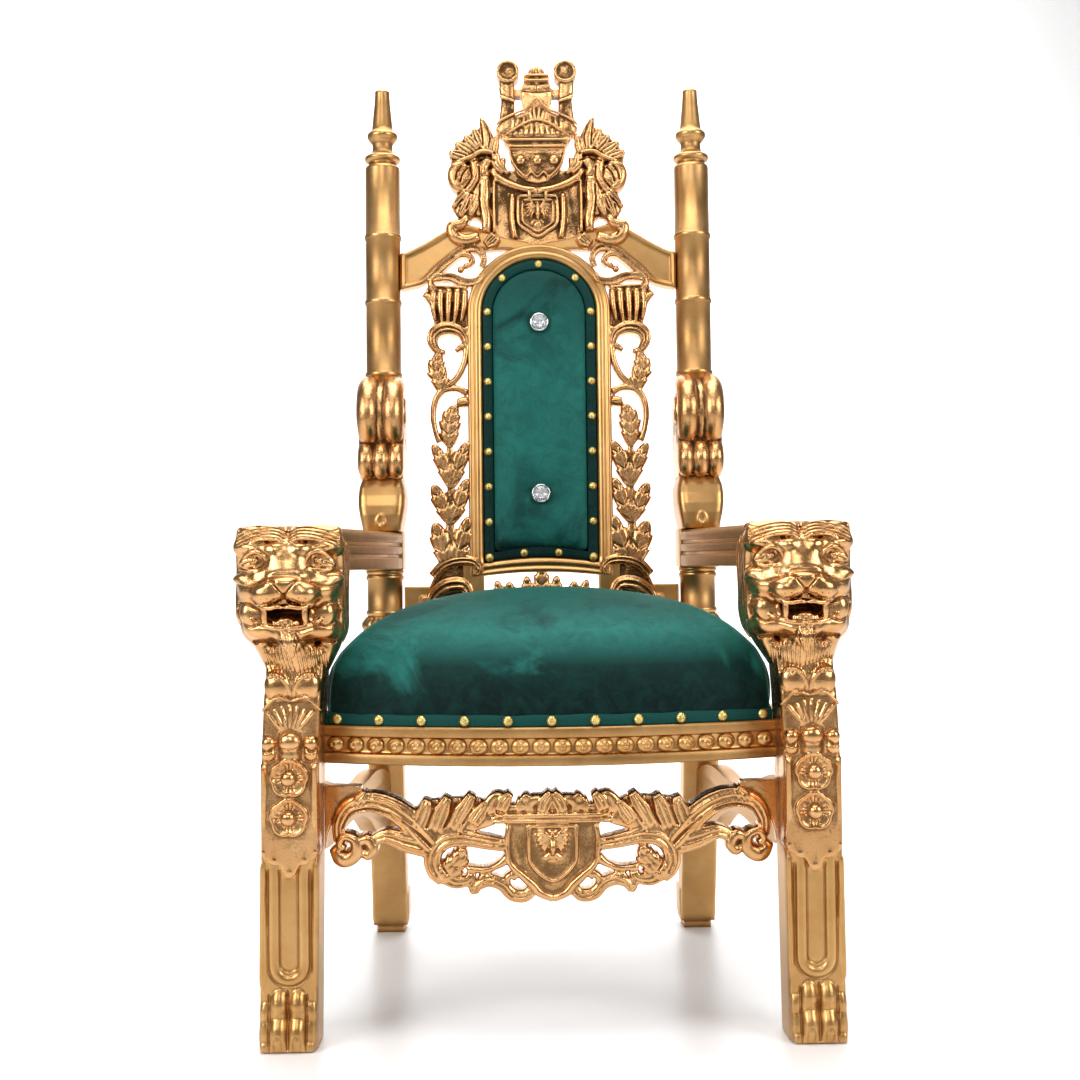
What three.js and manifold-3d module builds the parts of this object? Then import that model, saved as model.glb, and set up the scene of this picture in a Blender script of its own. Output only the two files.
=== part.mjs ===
// A child's carved and gilded throne with lion-head arms and a green velvet seat.
// Millimetres, +Z up, the front towards -Y, the origin on the floor under the middle of the throne.
import * as THREE from 'three';
import Module from 'manifold-3d';
import { mergeVertices } from 'three/addons/utils/BufferGeometryUtils.js';

const wasm = await Module();
wasm.setup();

// Clearance between two pieces that meet
const jointGap = 0.3;

// Depths from the middle of the throne
const snoutY = -285;
const legFrontY = -250;
const legBackY = -188;
const backFootRearY = 285;

// Front legs and their lions
const legWidth = 65;
const footHalfSpan = 295;
const railHalfSpan = 289;
const headHalfSpan = 275;
const headTopZ = 580;
const headWidth = 128;
const headHeight = 163;
const pawHeight = 70;
const pawReach = 17;
const rosetteRadius = 21;
const rosetteDepth = 7;

// Seat
const railTopZ = 355;
const railHeight = 43;
const railThickness = 26;
const railEndY = -207;
const railBow = 50;
const mouldingHeight = 12;
const mouldingDepth = 5;
const beadCount = 22;
const sideRailThickness = 24;
const cushionCrown = 148;
const bandHeight = 13;
const bandThickness = 4;
const dustCoverThickness = 2;

// Back posts
const postHalfSpan = 224;
const postY = 200;
const postRadius = 25;
const postRingRadius = 26.8;
const postBlock = 56;
const seatBlockRise = 96;
const columnOverlap = 11;
const postHeight = 668;
const backLegWidth = 50;
const backLegDepth = 46;
const backFootWidth = 53;
const backFootTop = 58;
const backPlinthHeight = 12;
const backPlinthWidth = 40;
const scrollWidth = 67;
const backRake = 0.03;

// Arms
const armBottomZ = 530;
const armHeight = 51;
const armWidth = 56;
const armGroove = 4;

// Carved back
const frameThickness = 28;
const padHalfWidth = 81;
const padArchRise = 76;
const padSpringW = 342;
const padCornerW = -18;
const padFootRise = 8;
const stileWidth = 22;
const foliageReach = 51;
const foliageThickness = 28;
const crestHeight = 274;
const crestWidth = 260;
const crestThickness = 26;
const padFlange = 14;
const padThickness = 20;
const padProud = 9;
const flangeThickness = 5;
const coverThickness = 3;

// Apron and side stretchers
const apronTopZ = 283;
const apronBottomZ = 162;
const apronFrontY = -220;
const apronThickness = 24;
const apronBow = 25;
const stretcherThickness = 22;

// Trim
const nailRadius = 6.2;
const nailHeight = 4;
const seatNailCount = 11;
const buttonRadius = 13.5;
const buttonHeight = 8;
const buttonUpperW = 324;
const buttonLowerW = 79;

// The back's own frame: x across, v into the depth, w up from the arm, all leaning with the back
const backOrigin = new THREE.Vector3(0, postY, armBottomZ + 25);
const backMatrix = new THREE.Matrix4().makeRotationX(-backRake).setPosition(backOrigin);

const gilt = { color: 0xb98a3e, metalness: 0.9, roughness: 0.38 };
const leafGold = { color: 0xcf9f55, metalness: 1.0, roughness: 0.22 };
const velvet = { color: 0x0f5a4c, metalness: 0.0, roughness: 0.85 };
const blackCloth = { color: 0x101010, metalness: 0.0, roughness: 0.9 };
const brassNail = { color: 0xc2a24a, metalness: 1.0, roughness: 0.3 };
const crystal = { color: 0xe8eef2, metalness: 0.1, roughness: 0.05 };

// Solids from three.js geometry

function solid(geometry) {
  const bare = new THREE.BufferGeometry();
  bare.setAttribute('position', geometry.getAttribute('position').clone());
  if (geometry.index) bare.setIndex(geometry.index.clone());
  const merged = mergeVertices(bare, 1e-3);
  const corners = merged.index.array;
  const kept = [];
  for (let i = 0; i < corners.length; i += 3) {
    const [a, b, c] = [corners[i], corners[i + 1], corners[i + 2]];
    if (a !== b && b !== c && c !== a) kept.push(a, b, c);
  }
  const build = () => new wasm.Manifold(new wasm.Mesh({
    numProp: 3,
    vertProperties: new Float32Array(merged.attributes.position.array),
    triVerts: new Uint32Array(kept),
  }));
  const made = build();
  if (made.volume() > 0) return made;
  for (let i = 0; i < kept.length; i += 3) [kept[i + 1], kept[i + 2]] = [kept[i + 2], kept[i + 1]];
  return build();
}

function union(solids) {
  return wasm.Manifold.union(solids);
}

function geometryOf(made) {
  const mesh = made.getMesh();
  const geometry = new THREE.BufferGeometry();
  geometry.setAttribute('position', new THREE.BufferAttribute(new Float32Array(mesh.vertProperties), 3));
  geometry.setIndex(new THREE.BufferAttribute(new Uint32Array(mesh.triVerts), 1));
  return geometry;
}

function moved(made, matrix) {
  return solid(geometryOf(made).applyMatrix4(matrix));
}

function shapeOf(points) {
  return new THREE.Shape(points.map(([a, b]) => new THREE.Vector2(a, b)));
}

// Extrudes a shape drawn in x and z along y, from y0 to y1
function prismAlongY(shape, y0, y1, curveSegments = 12) {
  const geometry = new THREE.ExtrudeGeometry(shape, { depth: y1 - y0, bevelEnabled: false, curveSegments });
  return solid(geometry.rotateX(Math.PI / 2).translate(0, y1, 0));
}

// Extrudes a shape drawn in y and z along x, from x0 to x1
function prismAlongX(shape, x0, x1, curveSegments = 12) {
  const geometry = new THREE.ExtrudeGeometry(shape, { depth: x1 - x0, bevelEnabled: false, curveSegments });
  const turn = new THREE.Matrix4().makeBasis(
    new THREE.Vector3(0, 1, 0), new THREE.Vector3(0, 0, 1), new THREE.Vector3(1, 0, 0));
  return solid(geometry.applyMatrix4(turn).translate(x0, 0, 0));
}

// Extrudes a plan shape up z
function prismUp(shape, z0, z1) {
  const geometry = new THREE.ExtrudeGeometry(shape, { depth: z1 - z0, bevelEnabled: false });
  return solid(geometry.translate(0, 0, z0));
}

function box([x0, y0, z0], [x1, y1, z1]) {
  const geometry = new THREE.BoxGeometry(x1 - x0, y1 - y0, z1 - z0);
  return solid(geometry.translate((x0 + x1) / 2, (y0 + y1) / 2, (z0 + z1) / 2));
}

function ball([x, y, z], [rx, ry, rz], around = 6, down = 4, tilt = 0) {
  const geometry = new THREE.SphereGeometry(1, around, down).rotateX(Math.PI / 2).scale(rx, ry, rz);
  return solid(geometry.rotateY(tilt).translate(x, y, z));
}

// Turns a profile of [radius, height] pairs about the z axis
function turned(profile, segments) {
  const points = profile.map(([r, h]) => new THREE.Vector2(r, h));
  return solid(new THREE.LatheGeometry(points, segments).rotateX(Math.PI / 2));
}

// Joins rings of points, each [x, y, z] and equal in number, into one capped body
function loft(rings) {
  const count = rings[0].length;
  const index = [];
  for (let i = 0; i + 1 < rings.length; i += 1) {
    for (let j = 0; j < count; j += 1) {
      const a = i * count + j;
      const b = i * count + ((j + 1) % count);
      index.push(a, b, b + count, a, b + count, a + count);
    }
  }
  const last = (rings.length - 1) * count;
  for (let j = 1; j + 1 < count; j += 1) {
    index.push(0, j + 1, j);
    index.push(last, last + j, last + j + 1);
  }
  const geometry = new THREE.BufferGeometry();
  geometry.setAttribute('position', new THREE.Float32BufferAttribute(rings.flat(2), 3));
  geometry.setIndex(index);
  return solid(geometry);
}

// A straight line through pairs of [input, output], held at both ends
function through(pairs, t) {
  if (t <= pairs[0][0]) return pairs[0][1];
  for (let i = 1; i < pairs.length; i += 1) {
    const [t0, v0] = pairs[i - 1];
    const [t1, v1] = pairs[i];
    if (t <= t1) return v0 + ((v1 - v0) * (t - t0)) / (t1 - t0);
  }
  return pairs[pairs.length - 1][1];
}

// Carved strokes. Each is [points, half widths, proud, kind]: a scroll is ridged, a leaf has a tooth
// in its edge too, and a stem is flat.

const strokeShoulder = 4;

function stroke([points, halfWidths, proud, kind], map, front, back) {
  const curve = new THREE.CatmullRomCurve3(
    points.map(([a, b]) => new THREE.Vector3(...map(a, b), 0)), false, 'centripetal');
  const steps = points.length - 1 + (points.length > 4 || kind === 'leaf' ? 1 : 0);
  const spread = halfWidths.map((h, i) => [i / (halfWidths.length - 1), h]);
  const rings = [];
  for (let i = 0; i <= steps; i += 1) {
    const t = i / steps;
    const at = curve.getPoint(t);
    const along = curve.getTangent(t);
    const tooth = kind === 'leaf' && i > 0 && i < steps && i % 2 === 0 ? 0.7 : 1;
    const half = Math.max(0.8, through(spread, t) * tooth);
    const [nx, nw] = [-along.y * half, along.x * half];
    const edge = front + (kind === 'stem' ? -proud : strokeShoulder);
    const ridge = kind === 'stem' ? [] : [[at.x, front - proud, at.y]];
    rings.push([
      [at.x - nx, back, at.y - nw], [at.x - nx, edge, at.y - nw],
      ...ridge,
      [at.x + nx, edge, at.y + nw], [at.x + nx, back, at.y + nw],
    ]);
  }
  return loft(rings);
}

function mirroredAcross(made) {
  return solid(geometryOf(made).scale(-1, 1, 1));
}

// Both halves of a carving drawn for one side
function bothSides(halves) {
  const half = union(halves);
  return union([half, mirroredAcross(half)]);
}

// Front leg

const legDrawn = { headTop: 580, headHeight: 163, headWidth: 128 };

// Where the leg's middle stands at a height
function legX(z) {
  return through([[0, footHalfSpan], [railTopZ, railHalfSpan],
    [headTopZ - headHeight, railHalfSpan - 4], [headTopZ - headHeight / 2, headHalfSpan]], z);
}

// The leg's front face at a height
function legFace(z) {
  return legFrontY + through([[0, 4], [190, 4], [215, 0], [330, -4], [385, -2], [420, 5]], z);
}

function legCore(extra) {
  const half = legWidth / 2 + extra;
  const chamfer = 5;
  const levels = [0, pawHeight, 190, 215, 330, 385, headTopZ - headHeight + 6];
  return loft(levels.map((z) => {
    const x = legX(z);
    const front = legFace(z) - extra;
    const back = legBackY + extra;
    return [
      [x - half, front + chamfer, z], [x - half + chamfer, front, z],
      [x + half - chamfer, front, z], [x + half, front + chamfer, z],
      [x + half, back - chamfer, z], [x + half - chamfer, back, z],
      [x - half + chamfer, back, z], [x - half, back - chamfer, z],
    ];
  }));
}

// The lion's head is one skin of rings. The skull's [height, half width] and [height, front] are
// measured from the middle of the head.
const skullWidths = [[-94, 33], [-70, 45], [-45, 57], [-10, 63], [32, 64], [56, 61], [70, 44]];
const skullFronts = [[-94, -22], [-70, -18], [-45, -20], [-10, -27], [32, -33], [56, -31], [70, -18]];
const headLevels = [-94, -80, -66, -54, -45, -37, -29, -20, -10, 1, 10, 20, 31, 42, 52, 62, 70];

// Lumps of the face: [x, z, half width, half height, how far forward their tips reach]
const faceLumps = [
  [0, 9, 14, 15, -63], // nose
  [17, 2, 20, 17, -57], // muzzle
  [19, -11, 19, 11, -55], // upper lip
  [0, 26, 23, 21, -52], // bridge
  [33, 44, 28, 9, -45], // brow
  [36, 31, 11, 8, -38], // eye
  [45, 2, 21, 22, -40], // cheek
  [0, -46, 36, 10, -54], // jaw
  [0, -62, 19, 20, -48], // chin tuft
  [33, 62, 31, 11, -44], // curls over the forehead
  [55, -34, 17, 34, -28], // side lock
];
const mouth = [0, -29, 26, 10, 14];

function faceRise(x, z) {
  let rise = 0;
  for (const [x0, z0, halfWide, halfHigh, tip] of faceLumps) {
    const r2 = ((Math.abs(x) - x0) / halfWide) ** 2 + ((z - z0) / halfHigh) ** 2;
    if (r2 < 1) rise = Math.max(rise, (through(skullFronts, z0) - tip) * (1 - r2) ** 0.6);
  }
  const [, mouthZ, mouthWide, mouthHigh, mouthDeep] = mouth;
  const inMouth = (x / mouthWide) ** 2 + ((z - mouthZ) / mouthHigh) ** 2;
  return inMouth < 1 ? -mouthDeep * (1 - inMouth) ** 0.4 : rise;
}

function lionHead(extra) {
  const size = (headWidth + 2 * extra) / legDrawn.headWidth;
  const tall = headHeight / legDrawn.headHeight;
  const hz = headTopZ - 70 * tall;
  const faceY = snoutY + 63;
  const rearY = legBackY + 20;
  const across = [-1, -0.86, -0.7, -0.52, -0.3, -0.14, 0, 0.14, 0.3, 0.52, 0.7, 0.86, 1];
  const rings = headLevels.map((dz) => {
    const share = through([[-94, 0], [-70, 0.5], [-45, 0.8], [-10, 1]], dz);
    const z = hz + dz * tall + (dz === 70 ? extra : 0);
    const x0 = legX(z) * (1 - share) + headHalfSpan * share;
    const half = through(skullWidths, dz) * size;
    const ruffle = dz > -60 && dz < 60 ? 2.5 * Math.cos(dz * 0.3) : 0;
    const front = through(skullFronts, dz);
    const ring = across.map((u) => {
      const round = 26 * (1 - Math.sqrt(1 - 0.96 * u * u));
      const rise = extra > 0 ? 0 : faceRise(u * half, dz);
      const wide = Math.abs(u) > 0.8 ? half + ruffle : half;
      return [x0 + u * wide, faceY + front + round - rise - extra, z];
    });
    const rear = through([[-94, legBackY], [-50, legBackY + 10], [-10, rearY]], dz);
    ring.push([x0 + half + ruffle, rear - 14, z], [x0 + half * 0.8, rear, z]);
    ring.push([x0 - half * 0.8, rear, z], [x0 - half - ruffle, rear - 14, z]);
    return ring;
  });
  const skin = loft(rings);
  if (extra > 0) return skin;
  const fangs = [-1, 1].map((side) => {
    const fang = new THREE.ConeGeometry(3.6, 32, 5).rotateX(-Math.PI / 2);
    return solid(fang.translate(headHalfSpan + side * 19, faceY - 38, hz - 28));
  });
  return union([skin, ...fangs]);
}

// The leg's raised front carving, from the shoulder leaves down to the long channel
function legCarving() {
  const parts = [];
  const leafZ = headTopZ - headHeight - 15;
  for (const side of [-1, 1]) {
    parts.push(ball([legX(leafZ) + side * 15, legFace(leafZ) + 2, leafZ], [15, 8, 18], 6, 4, side * 0.25));
    parts.push(ball([legX(337) + side * 25, legFace(337), 337], [8, 8, 12], 6, 3));
  }
  parts.push(ball([legX(342), legFace(342), 342], [12, 12, 14], 8, 4));
  const shellTop = 388;
  const shell = new THREE.Shape();
  shell.moveTo(-31, shellTop - 31);
  shell.lineTo(31, shellTop - 31);
  shell.lineTo(31, shellTop - 8);
  shell.quadraticCurveTo(14, shellTop + 6, 0, shellTop - 2);
  shell.quadraticCurveTo(-14, shellTop + 6, -31, shellTop - 8);
  const shellSolid = prismAlongY(shell, legFace(shellTop) - 3, legFace(shellTop) + 8, 2);
  parts.push(moved(shellSolid, new THREE.Matrix4().makeTranslation(legX(shellTop), 0, 0)));
  for (const z of [303, 259]) {
    const petals = [];
    for (let i = 0; i < 10; i += 1) {
      const a = (i * Math.PI) / 5 + Math.PI / 10;
      const r = rosetteRadius * (i % 2 ? 0.84 : 1);
      petals.push([legX(z) + r * Math.cos(a), z + r * Math.sin(a)]);
    }
    parts.push(prismAlongY(shapeOf(petals), legFace(z) - rosetteDepth, legFace(z) + 8));
    parts.push(ball([legX(z), legFace(z) - rosetteDepth, z], [9, 7, 9], 6, 4));
  }
  const tongue = new THREE.Shape();
  tongue.moveTo(-31, 312);
  tongue.lineTo(-31, 216);
  tongue.quadraticCurveTo(-26, 206, -16, 208);
  tongue.quadraticCurveTo(-8, 192, 0, 193);
  tongue.quadraticCurveTo(8, 192, 16, 208);
  tongue.quadraticCurveTo(26, 206, 31, 216);
  tongue.lineTo(31, 312);
  const tongueSolid = prismAlongY(tongue, legFace(260) - 3, legFace(260) + 10, 2);
  parts.push(moved(tongueSolid, new THREE.Matrix4().makeTranslation(legX(260), 0, 0)));
  const channel = new THREE.Shape();
  const [outer, inner, foot] = [22.5, 10.5, pawHeight + 24];
  channel.moveTo(-outer, 212);
  channel.lineTo(-outer, foot);
  channel.absarc(0, foot, outer, Math.PI, 2 * Math.PI, false);
  channel.lineTo(outer, 212);
  channel.lineTo(inner, 212);
  channel.lineTo(inner, foot);
  channel.absarc(0, foot, inner, 2 * Math.PI, Math.PI, true);
  channel.lineTo(-inner, 212);
  const channelSolid = prismAlongY(channel, legFace(100) - 5, legFace(100) + 8, 3);
  parts.push(moved(channelSolid, new THREE.Matrix4().makeTranslation(legX(120), 0, 0)));
  return parts;
}

function paw() {
  const parts = [];
  const toes = [[-25, 7, 62], [-10.5, 10.3, pawHeight], [10.5, 10.3, pawHeight], [25, 7, 62]];
  toes.forEach(([dx, half, high]) => {
    const reach = Math.abs(dx) > 20 ? pawReach * 0.6 : pawReach;
    const levels = [[0, reach - 2, 1], [14, reach, 1], [46, reach * 0.75, 1], [high, 0, 0.8]];
    parts.push(loft(levels.map(([z, out, wide]) => {
      const x = legX(z) + dx;
      const front = legFace(z) - out;
      return [
        [x - half * wide, legFrontY + 12, z], [x - half * wide, front + 7, z], [x - half * wide * 0.5, front, z],
        [x + half * wide * 0.5, front, z], [x + half * wide, front + 7, z], [x + half * wide, legFrontY + 12, z],
      ];
    })));
  });
  return parts;
}

function frontLeg() {
  return union([legCore(0), lionHead(0), ...legCarving(), ...paw()]);
}

// Everything that a neighbour of the front leg has to stay clear of
function legClearance(extra) {
  return union([legCore(extra), lionHead(extra * 4)]);
}

// Back post

const postRings = [-88, -34, 253, 358, 453];

function turnedPost(extra) {
  const r = postRadius + extra;
  const ring = postRingRadius + extra;
  const bottom = railTopZ + seatBlockRise - columnOverlap - backOrigin.z;
  const profile = [[0, bottom], [r, bottom]];
  for (const w of postRings) profile.push([r, w - 4], [ring, w], [r, w + 4]);
  const top = postHeight;
  profile.push([r, top - 113], [20 + extra, top - 106], [25.5 + extra, top - 98], [14.5 + extra, top - 86],
    [14.5 + extra, top - 76], [22 + extra, top - 64], [15 + extra, top - 50], [10.6 + extra, top], [0, top]);
  return turned(profile, 10);
}

// The carved scroll that rises from the arm to the column, in front of the post
function postScroll() {
  const side = new THREE.Shape();
  side.moveTo(20, 26);
  side.lineTo(-66, 26);
  side.quadraticCurveTo(-76, 60, -60, 98);
  side.quadraticCurveTo(-72, 118, -56, 138);
  side.quadraticCurveTo(-78, 170, -60, 205);
  side.quadraticCurveTo(-42, 232, -20, 234);
  side.lineTo(20, 234);
  const front = new THREE.Shape();
  const half = scrollWidth / 2;
  front.moveTo(-27, 26);
  front.quadraticCurveTo(-half - 1, 60, -half, 84);
  front.lineTo(-half + 4, 98);
  front.quadraticCurveTo(-half - 1, 118, -half + 3, 138);
  front.quadraticCurveTo(-half - 1, 175, -half, 205);
  front.quadraticCurveTo(-half + 4, 232, -24, 234);
  front.lineTo(24, 234);
  front.quadraticCurveTo(half - 4, 232, half, 205);
  front.quadraticCurveTo(half + 1, 175, half - 3, 138);
  front.quadraticCurveTo(half + 1, 118, half - 4, 98);
  front.lineTo(half, 84);
  front.quadraticCurveTo(half + 1, 60, 27, 26);
  return prismAlongX(side, -half - 4, half + 4, 4).intersect(prismAlongY(front, -90, 40, 2));
}

// The back leg's middle in depth at a height: it kicks back towards the floor
function backLegY(z) {
  const kick = backFootRearY - backLegDepth / 2 - (postY - 3);
  const share = Math.max(0, 1 - z / (railTopZ - railHeight));
  return postY - 3 + kick * share ** 1.4;
}

function backLeg(extra) {
  const levels = [0, 90, 180, 270, railTopZ - railHeight + 2];
  const half = backLegWidth / 2 + extra;
  const deep = backLegDepth / 2 + extra;
  return loft(levels.map((z) => {
    const y = backLegY(z);
    const lift = z === 0 && extra === 0 ? backPlinthHeight : z;
    return [[postHalfSpan - half, y - deep, lift], [postHalfSpan + half, y - deep, lift],
      [postHalfSpan + half, y + deep, lift], [postHalfSpan - half, y + deep, lift]];
  }));
}

function backPost() {
  const column = new THREE.Matrix4().makeTranslation(postHalfSpan, 0, 0).premultiply(backMatrix);
  const half = postBlock / 2;
  const seatBlockTop = railTopZ + seatBlockRise;
  const foot = new THREE.Shape();
  const [footHalf, round] = [backFootWidth / 2, 7];
  foot.moveTo(-footHalf, backFootTop);
  foot.lineTo(-footHalf, backPlinthHeight + round);
  foot.quadraticCurveTo(-footHalf, backPlinthHeight, -footHalf + round, backPlinthHeight);
  foot.lineTo(footHalf - round, backPlinthHeight);
  foot.quadraticCurveTo(footHalf, backPlinthHeight, footHalf, backPlinthHeight + round);
  foot.lineTo(footHalf, backFootTop);
  const footY = backFootRearY - backLegDepth / 2;
  const footBlock = prismAlongY(foot, footY - backLegDepth / 2 - 2, backFootRearY, 2);
  const plinthHalf = backPlinthWidth / 2;
  return union([
    moved(turnedPost(0), column),
    moved(postScroll(), column),
    box([postHalfSpan - half, postY - half, armBottomZ - 2],
      [postHalfSpan + half, postY + half, armBottomZ + armHeight + 2]),
    box([postHalfSpan - half, postY - 3 - half, railTopZ - railHeight],
      [postHalfSpan + half, postY - 3 + half, seatBlockTop]),
    ball([postHalfSpan, postY - 3, seatBlockTop - 2], [33, 33, 16], 10, 4),
    backLeg(0),
    moved(footBlock, new THREE.Matrix4().makeTranslation(postHalfSpan, 0, 0)),
    box([postHalfSpan - plinthHalf, footY - plinthHalf, 0],
      [postHalfSpan + plinthHalf, footY + plinthHalf, backPlinthHeight + 1]),
  ]);
}

// Arm rail: three flat bands on each side with a sunk fillet between them
function armRail() {
  const [z0, z1] = [armBottomZ, armBottomZ + armHeight];
  const grooveAt = [z0 + 14, z0 + 20, z0 + 31, z0 + 37];
  const half = armWidth / 2;
  const section = [[-half, z0], [half, z0]];
  const edge = [[half, grooveAt[0]], [half - armGroove, grooveAt[0]], [half - armGroove, grooveAt[1]],
    [half - 1.5, grooveAt[1]], [half - 1.5, grooveAt[2]], [half - armGroove, grooveAt[2]],
    [half - armGroove, grooveAt[3]], [half, grooveAt[3]], [half, z1 - 5], [half - 6, z1]];
  section.push(...edge, ...edge.map(([x, z]) => [-x, z]).reverse());
  const ends = [[legBackY + 20 + jointGap, headHalfSpan], [postY - postBlock / 2 - jointGap, postHalfSpan]];
  return sweptBetween(section, ends);
}

// Carries a section of [across, z] points straight between two [y, x] ends
function sweptBetween(section, [[y0, x0], [y1, x1]]) {
  const shape = shapeOf(section);
  const geometry = new THREE.ExtrudeGeometry(shape, { depth: y1 - y0, bevelEnabled: false });
  geometry.rotateX(Math.PI / 2).translate(0, y1, 0);
  const position = geometry.getAttribute('position');
  for (let i = 0; i < position.count; i += 1) {
    const share = (position.getY(i) - y0) / (y1 - y0);
    position.setX(i, position.getX(i) + x0 + (x1 - x0) * share);
  }
  return solid(geometry);
}

// Seat rails

// The bowed front line of the seat: how far y comes forward of the rail's ends at x
function bowAt(x, bow) {
  const reach = railHalfSpan - legWidth / 2;
  return -bow * Math.max(0, 1 - (x / reach) ** 2);
}

function bowedBand(frontY, thickness, bow, z0, z1, reach, steps = 6) {
  const front = [];
  const back = [];
  for (let i = 0; i <= steps; i += 1) {
    const x = -reach + (2 * reach * i) / steps;
    front.push([x, frontY + bowAt(x, bow)]);
    back.push([x, frontY + bowAt(x, bow) + thickness]);
  }
  return prismUp(shapeOf([...front, ...back.reverse()]), z0, z1);
}

function frontRail(keepClear) {
  const reach = railHalfSpan - legWidth / 2 - jointGap;
  const z0 = railTopZ - railHeight;
  const bands = [
    bowedBand(railEndY + mouldingDepth, railThickness - mouldingDepth, railBow, z0, railTopZ, reach),
    bowedBand(railEndY, railThickness, railBow, railTopZ - mouldingHeight, railTopZ, reach),
    bowedBand(railEndY, railThickness, railBow, z0, z0 + mouldingHeight, reach),
  ];
  const inner = railHalfSpan - legWidth / 2;
  const pitch = (2 * inner) / beadCount;
  const beadZ = railTopZ - railHeight / 2;
  const beadHalf = (railHeight - 2 * mouldingHeight) / 2;
  for (let i = 0; i < beadCount; i += 1) {
    const x = -inner + pitch * (i + 0.5);
    const y = railEndY + mouldingDepth + bowAt(x, railBow);
    bands.push(ball([x, y, beadZ], [pitch * 0.46, mouldingDepth + 2, beadHalf - 0.6], 5, 3));
  }
  return union(bands).subtract(keepClear);
}

function sideRail() {
  const z0 = railTopZ - railHeight;
  const half = sideRailThickness / 2;
  const section = [
    [-half, z0], [half, z0], [half, z0 + mouldingHeight], [half - mouldingDepth, z0 + mouldingHeight + 3],
    [half - mouldingDepth, railTopZ - mouldingHeight - 3], [half, railTopZ - mouldingHeight],
    [half, railTopZ], [-half, railTopZ],
  ];
  return sweptBetween(section, [
    [legBackY + jointGap, railHalfSpan + legWidth / 2 - half - 8],
    [postY - 3 - postBlock / 2 - jointGap, postHalfSpan + postBlock / 2 - half - 4],
  ]);
}

function backRail() {
  const reach = postHalfSpan - postBlock / 2 - jointGap;
  return box([-reach, postY - 15, railTopZ - railHeight], [reach, postY + 10, railTopZ]);
}

// Cushion: plan rings drawn in from the rails' line, rising as a full dome

function seatLine(inset, share = 1) {
  const points = [];
  const frontHalf = railHalfSpan - legWidth / 2 - 4 - inset;
  const rearHalf = postHalfSpan - postBlock / 2 - 4 - inset;
  const frontY = railEndY + 4 + inset;
  const rearY = postY - 3 - frameThickness - 6 - inset;
  const middleY = (frontY + rearY) / 2;
  const steps = 10;
  for (let i = 0; i <= steps; i += 1) {
    const x = -frontHalf + (2 * frontHalf * i) / steps;
    points.push([x, frontY + bowAt(x * (1 + inset / frontHalf), railBow)]);
  }
  points.push([frontHalf * 0.985, middleY - 70], [frontHalf * 0.45 + rearHalf * 0.55 + 6, middleY + 70]);
  for (let i = 0; i <= 4; i += 1) points.push([rearHalf - (2 * rearHalf * i) / 4, rearY]);
  points.push([-frontHalf * 0.45 - rearHalf * 0.55 - 6, middleY + 70], [-frontHalf * 0.985, middleY - 70]);
  return points.map(([x, y]) => [x * share, middleY + (y - middleY) * share]);
}

function seatCushion(keepClear) {
  const base = railTopZ + jointGap;
  const power = 2.6;
  const inside = bandThickness + jointGap;
  const shares = [1, 0.985, 0.94, 0.84, 0.66, 0.42, 0.16];
  const rings = [seatLine(inside).map(([x, y]) => [x, y, base])];
  rings.push(seatLine(inside).map(([x, y]) => [x, y, base + bandHeight]));
  for (const share of shares) {
    const rise = (1 - Math.min(1, share) ** power) ** (1 / power);
    const z = base + bandHeight + 4 + (cushionCrown - bandHeight - 4) * rise;
    rings.push(seatLine(2, share).map(([x, y]) => [x, y, z]));
  }
  return loft(rings).subtract(keepClear);
}

function seatBand(keepClear) {
  const outer = shapeOf(seatLine(0));
  outer.holes.push(new THREE.Path(seatLine(bandThickness).map(([x, y]) => new THREE.Vector2(x, y))));
  const z0 = railTopZ + jointGap;
  return prismUp(outer, z0, z0 + bandHeight - jointGap).subtract(keepClear);
}

function dustCover() {
  const z1 = railTopZ - railHeight - jointGap;
  const line = seatLine(10);
  return prismUp(shapeOf(line), z1 - dustCoverThickness, z1);
}

// Carved back, in the back's own frame

// The pad's opening: straight sides, a round top and a gently arched foot, grown by `grow`
function padOutline(grow, shape = new THREE.Shape()) {
  const half = padHalfWidth + grow;
  const rise = padArchRise + grow;
  const foot = padCornerW - grow;
  shape.moveTo(-half, foot);
  shape.quadraticCurveTo(0, foot + 2 * padFootRise, half, foot);
  shape.lineTo(half, padSpringW);
  shape.absellipse(0, padSpringW, half, rise, 0, Math.PI, false);
  shape.lineTo(-half, foot);
  return shape;
}

const stileEdge = padHalfWidth + stileWidth;
const archTopW = padSpringW + padArchRise + stileWidth;
const frameFootW = -115;

// Drawing positions of the side foliage, fitted between stile and outer edge
const foliageMap = (x, w) => [stileEdge + ((x - 103) * foliageReach) / 51, (w * padSpringW) / 342];

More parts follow.
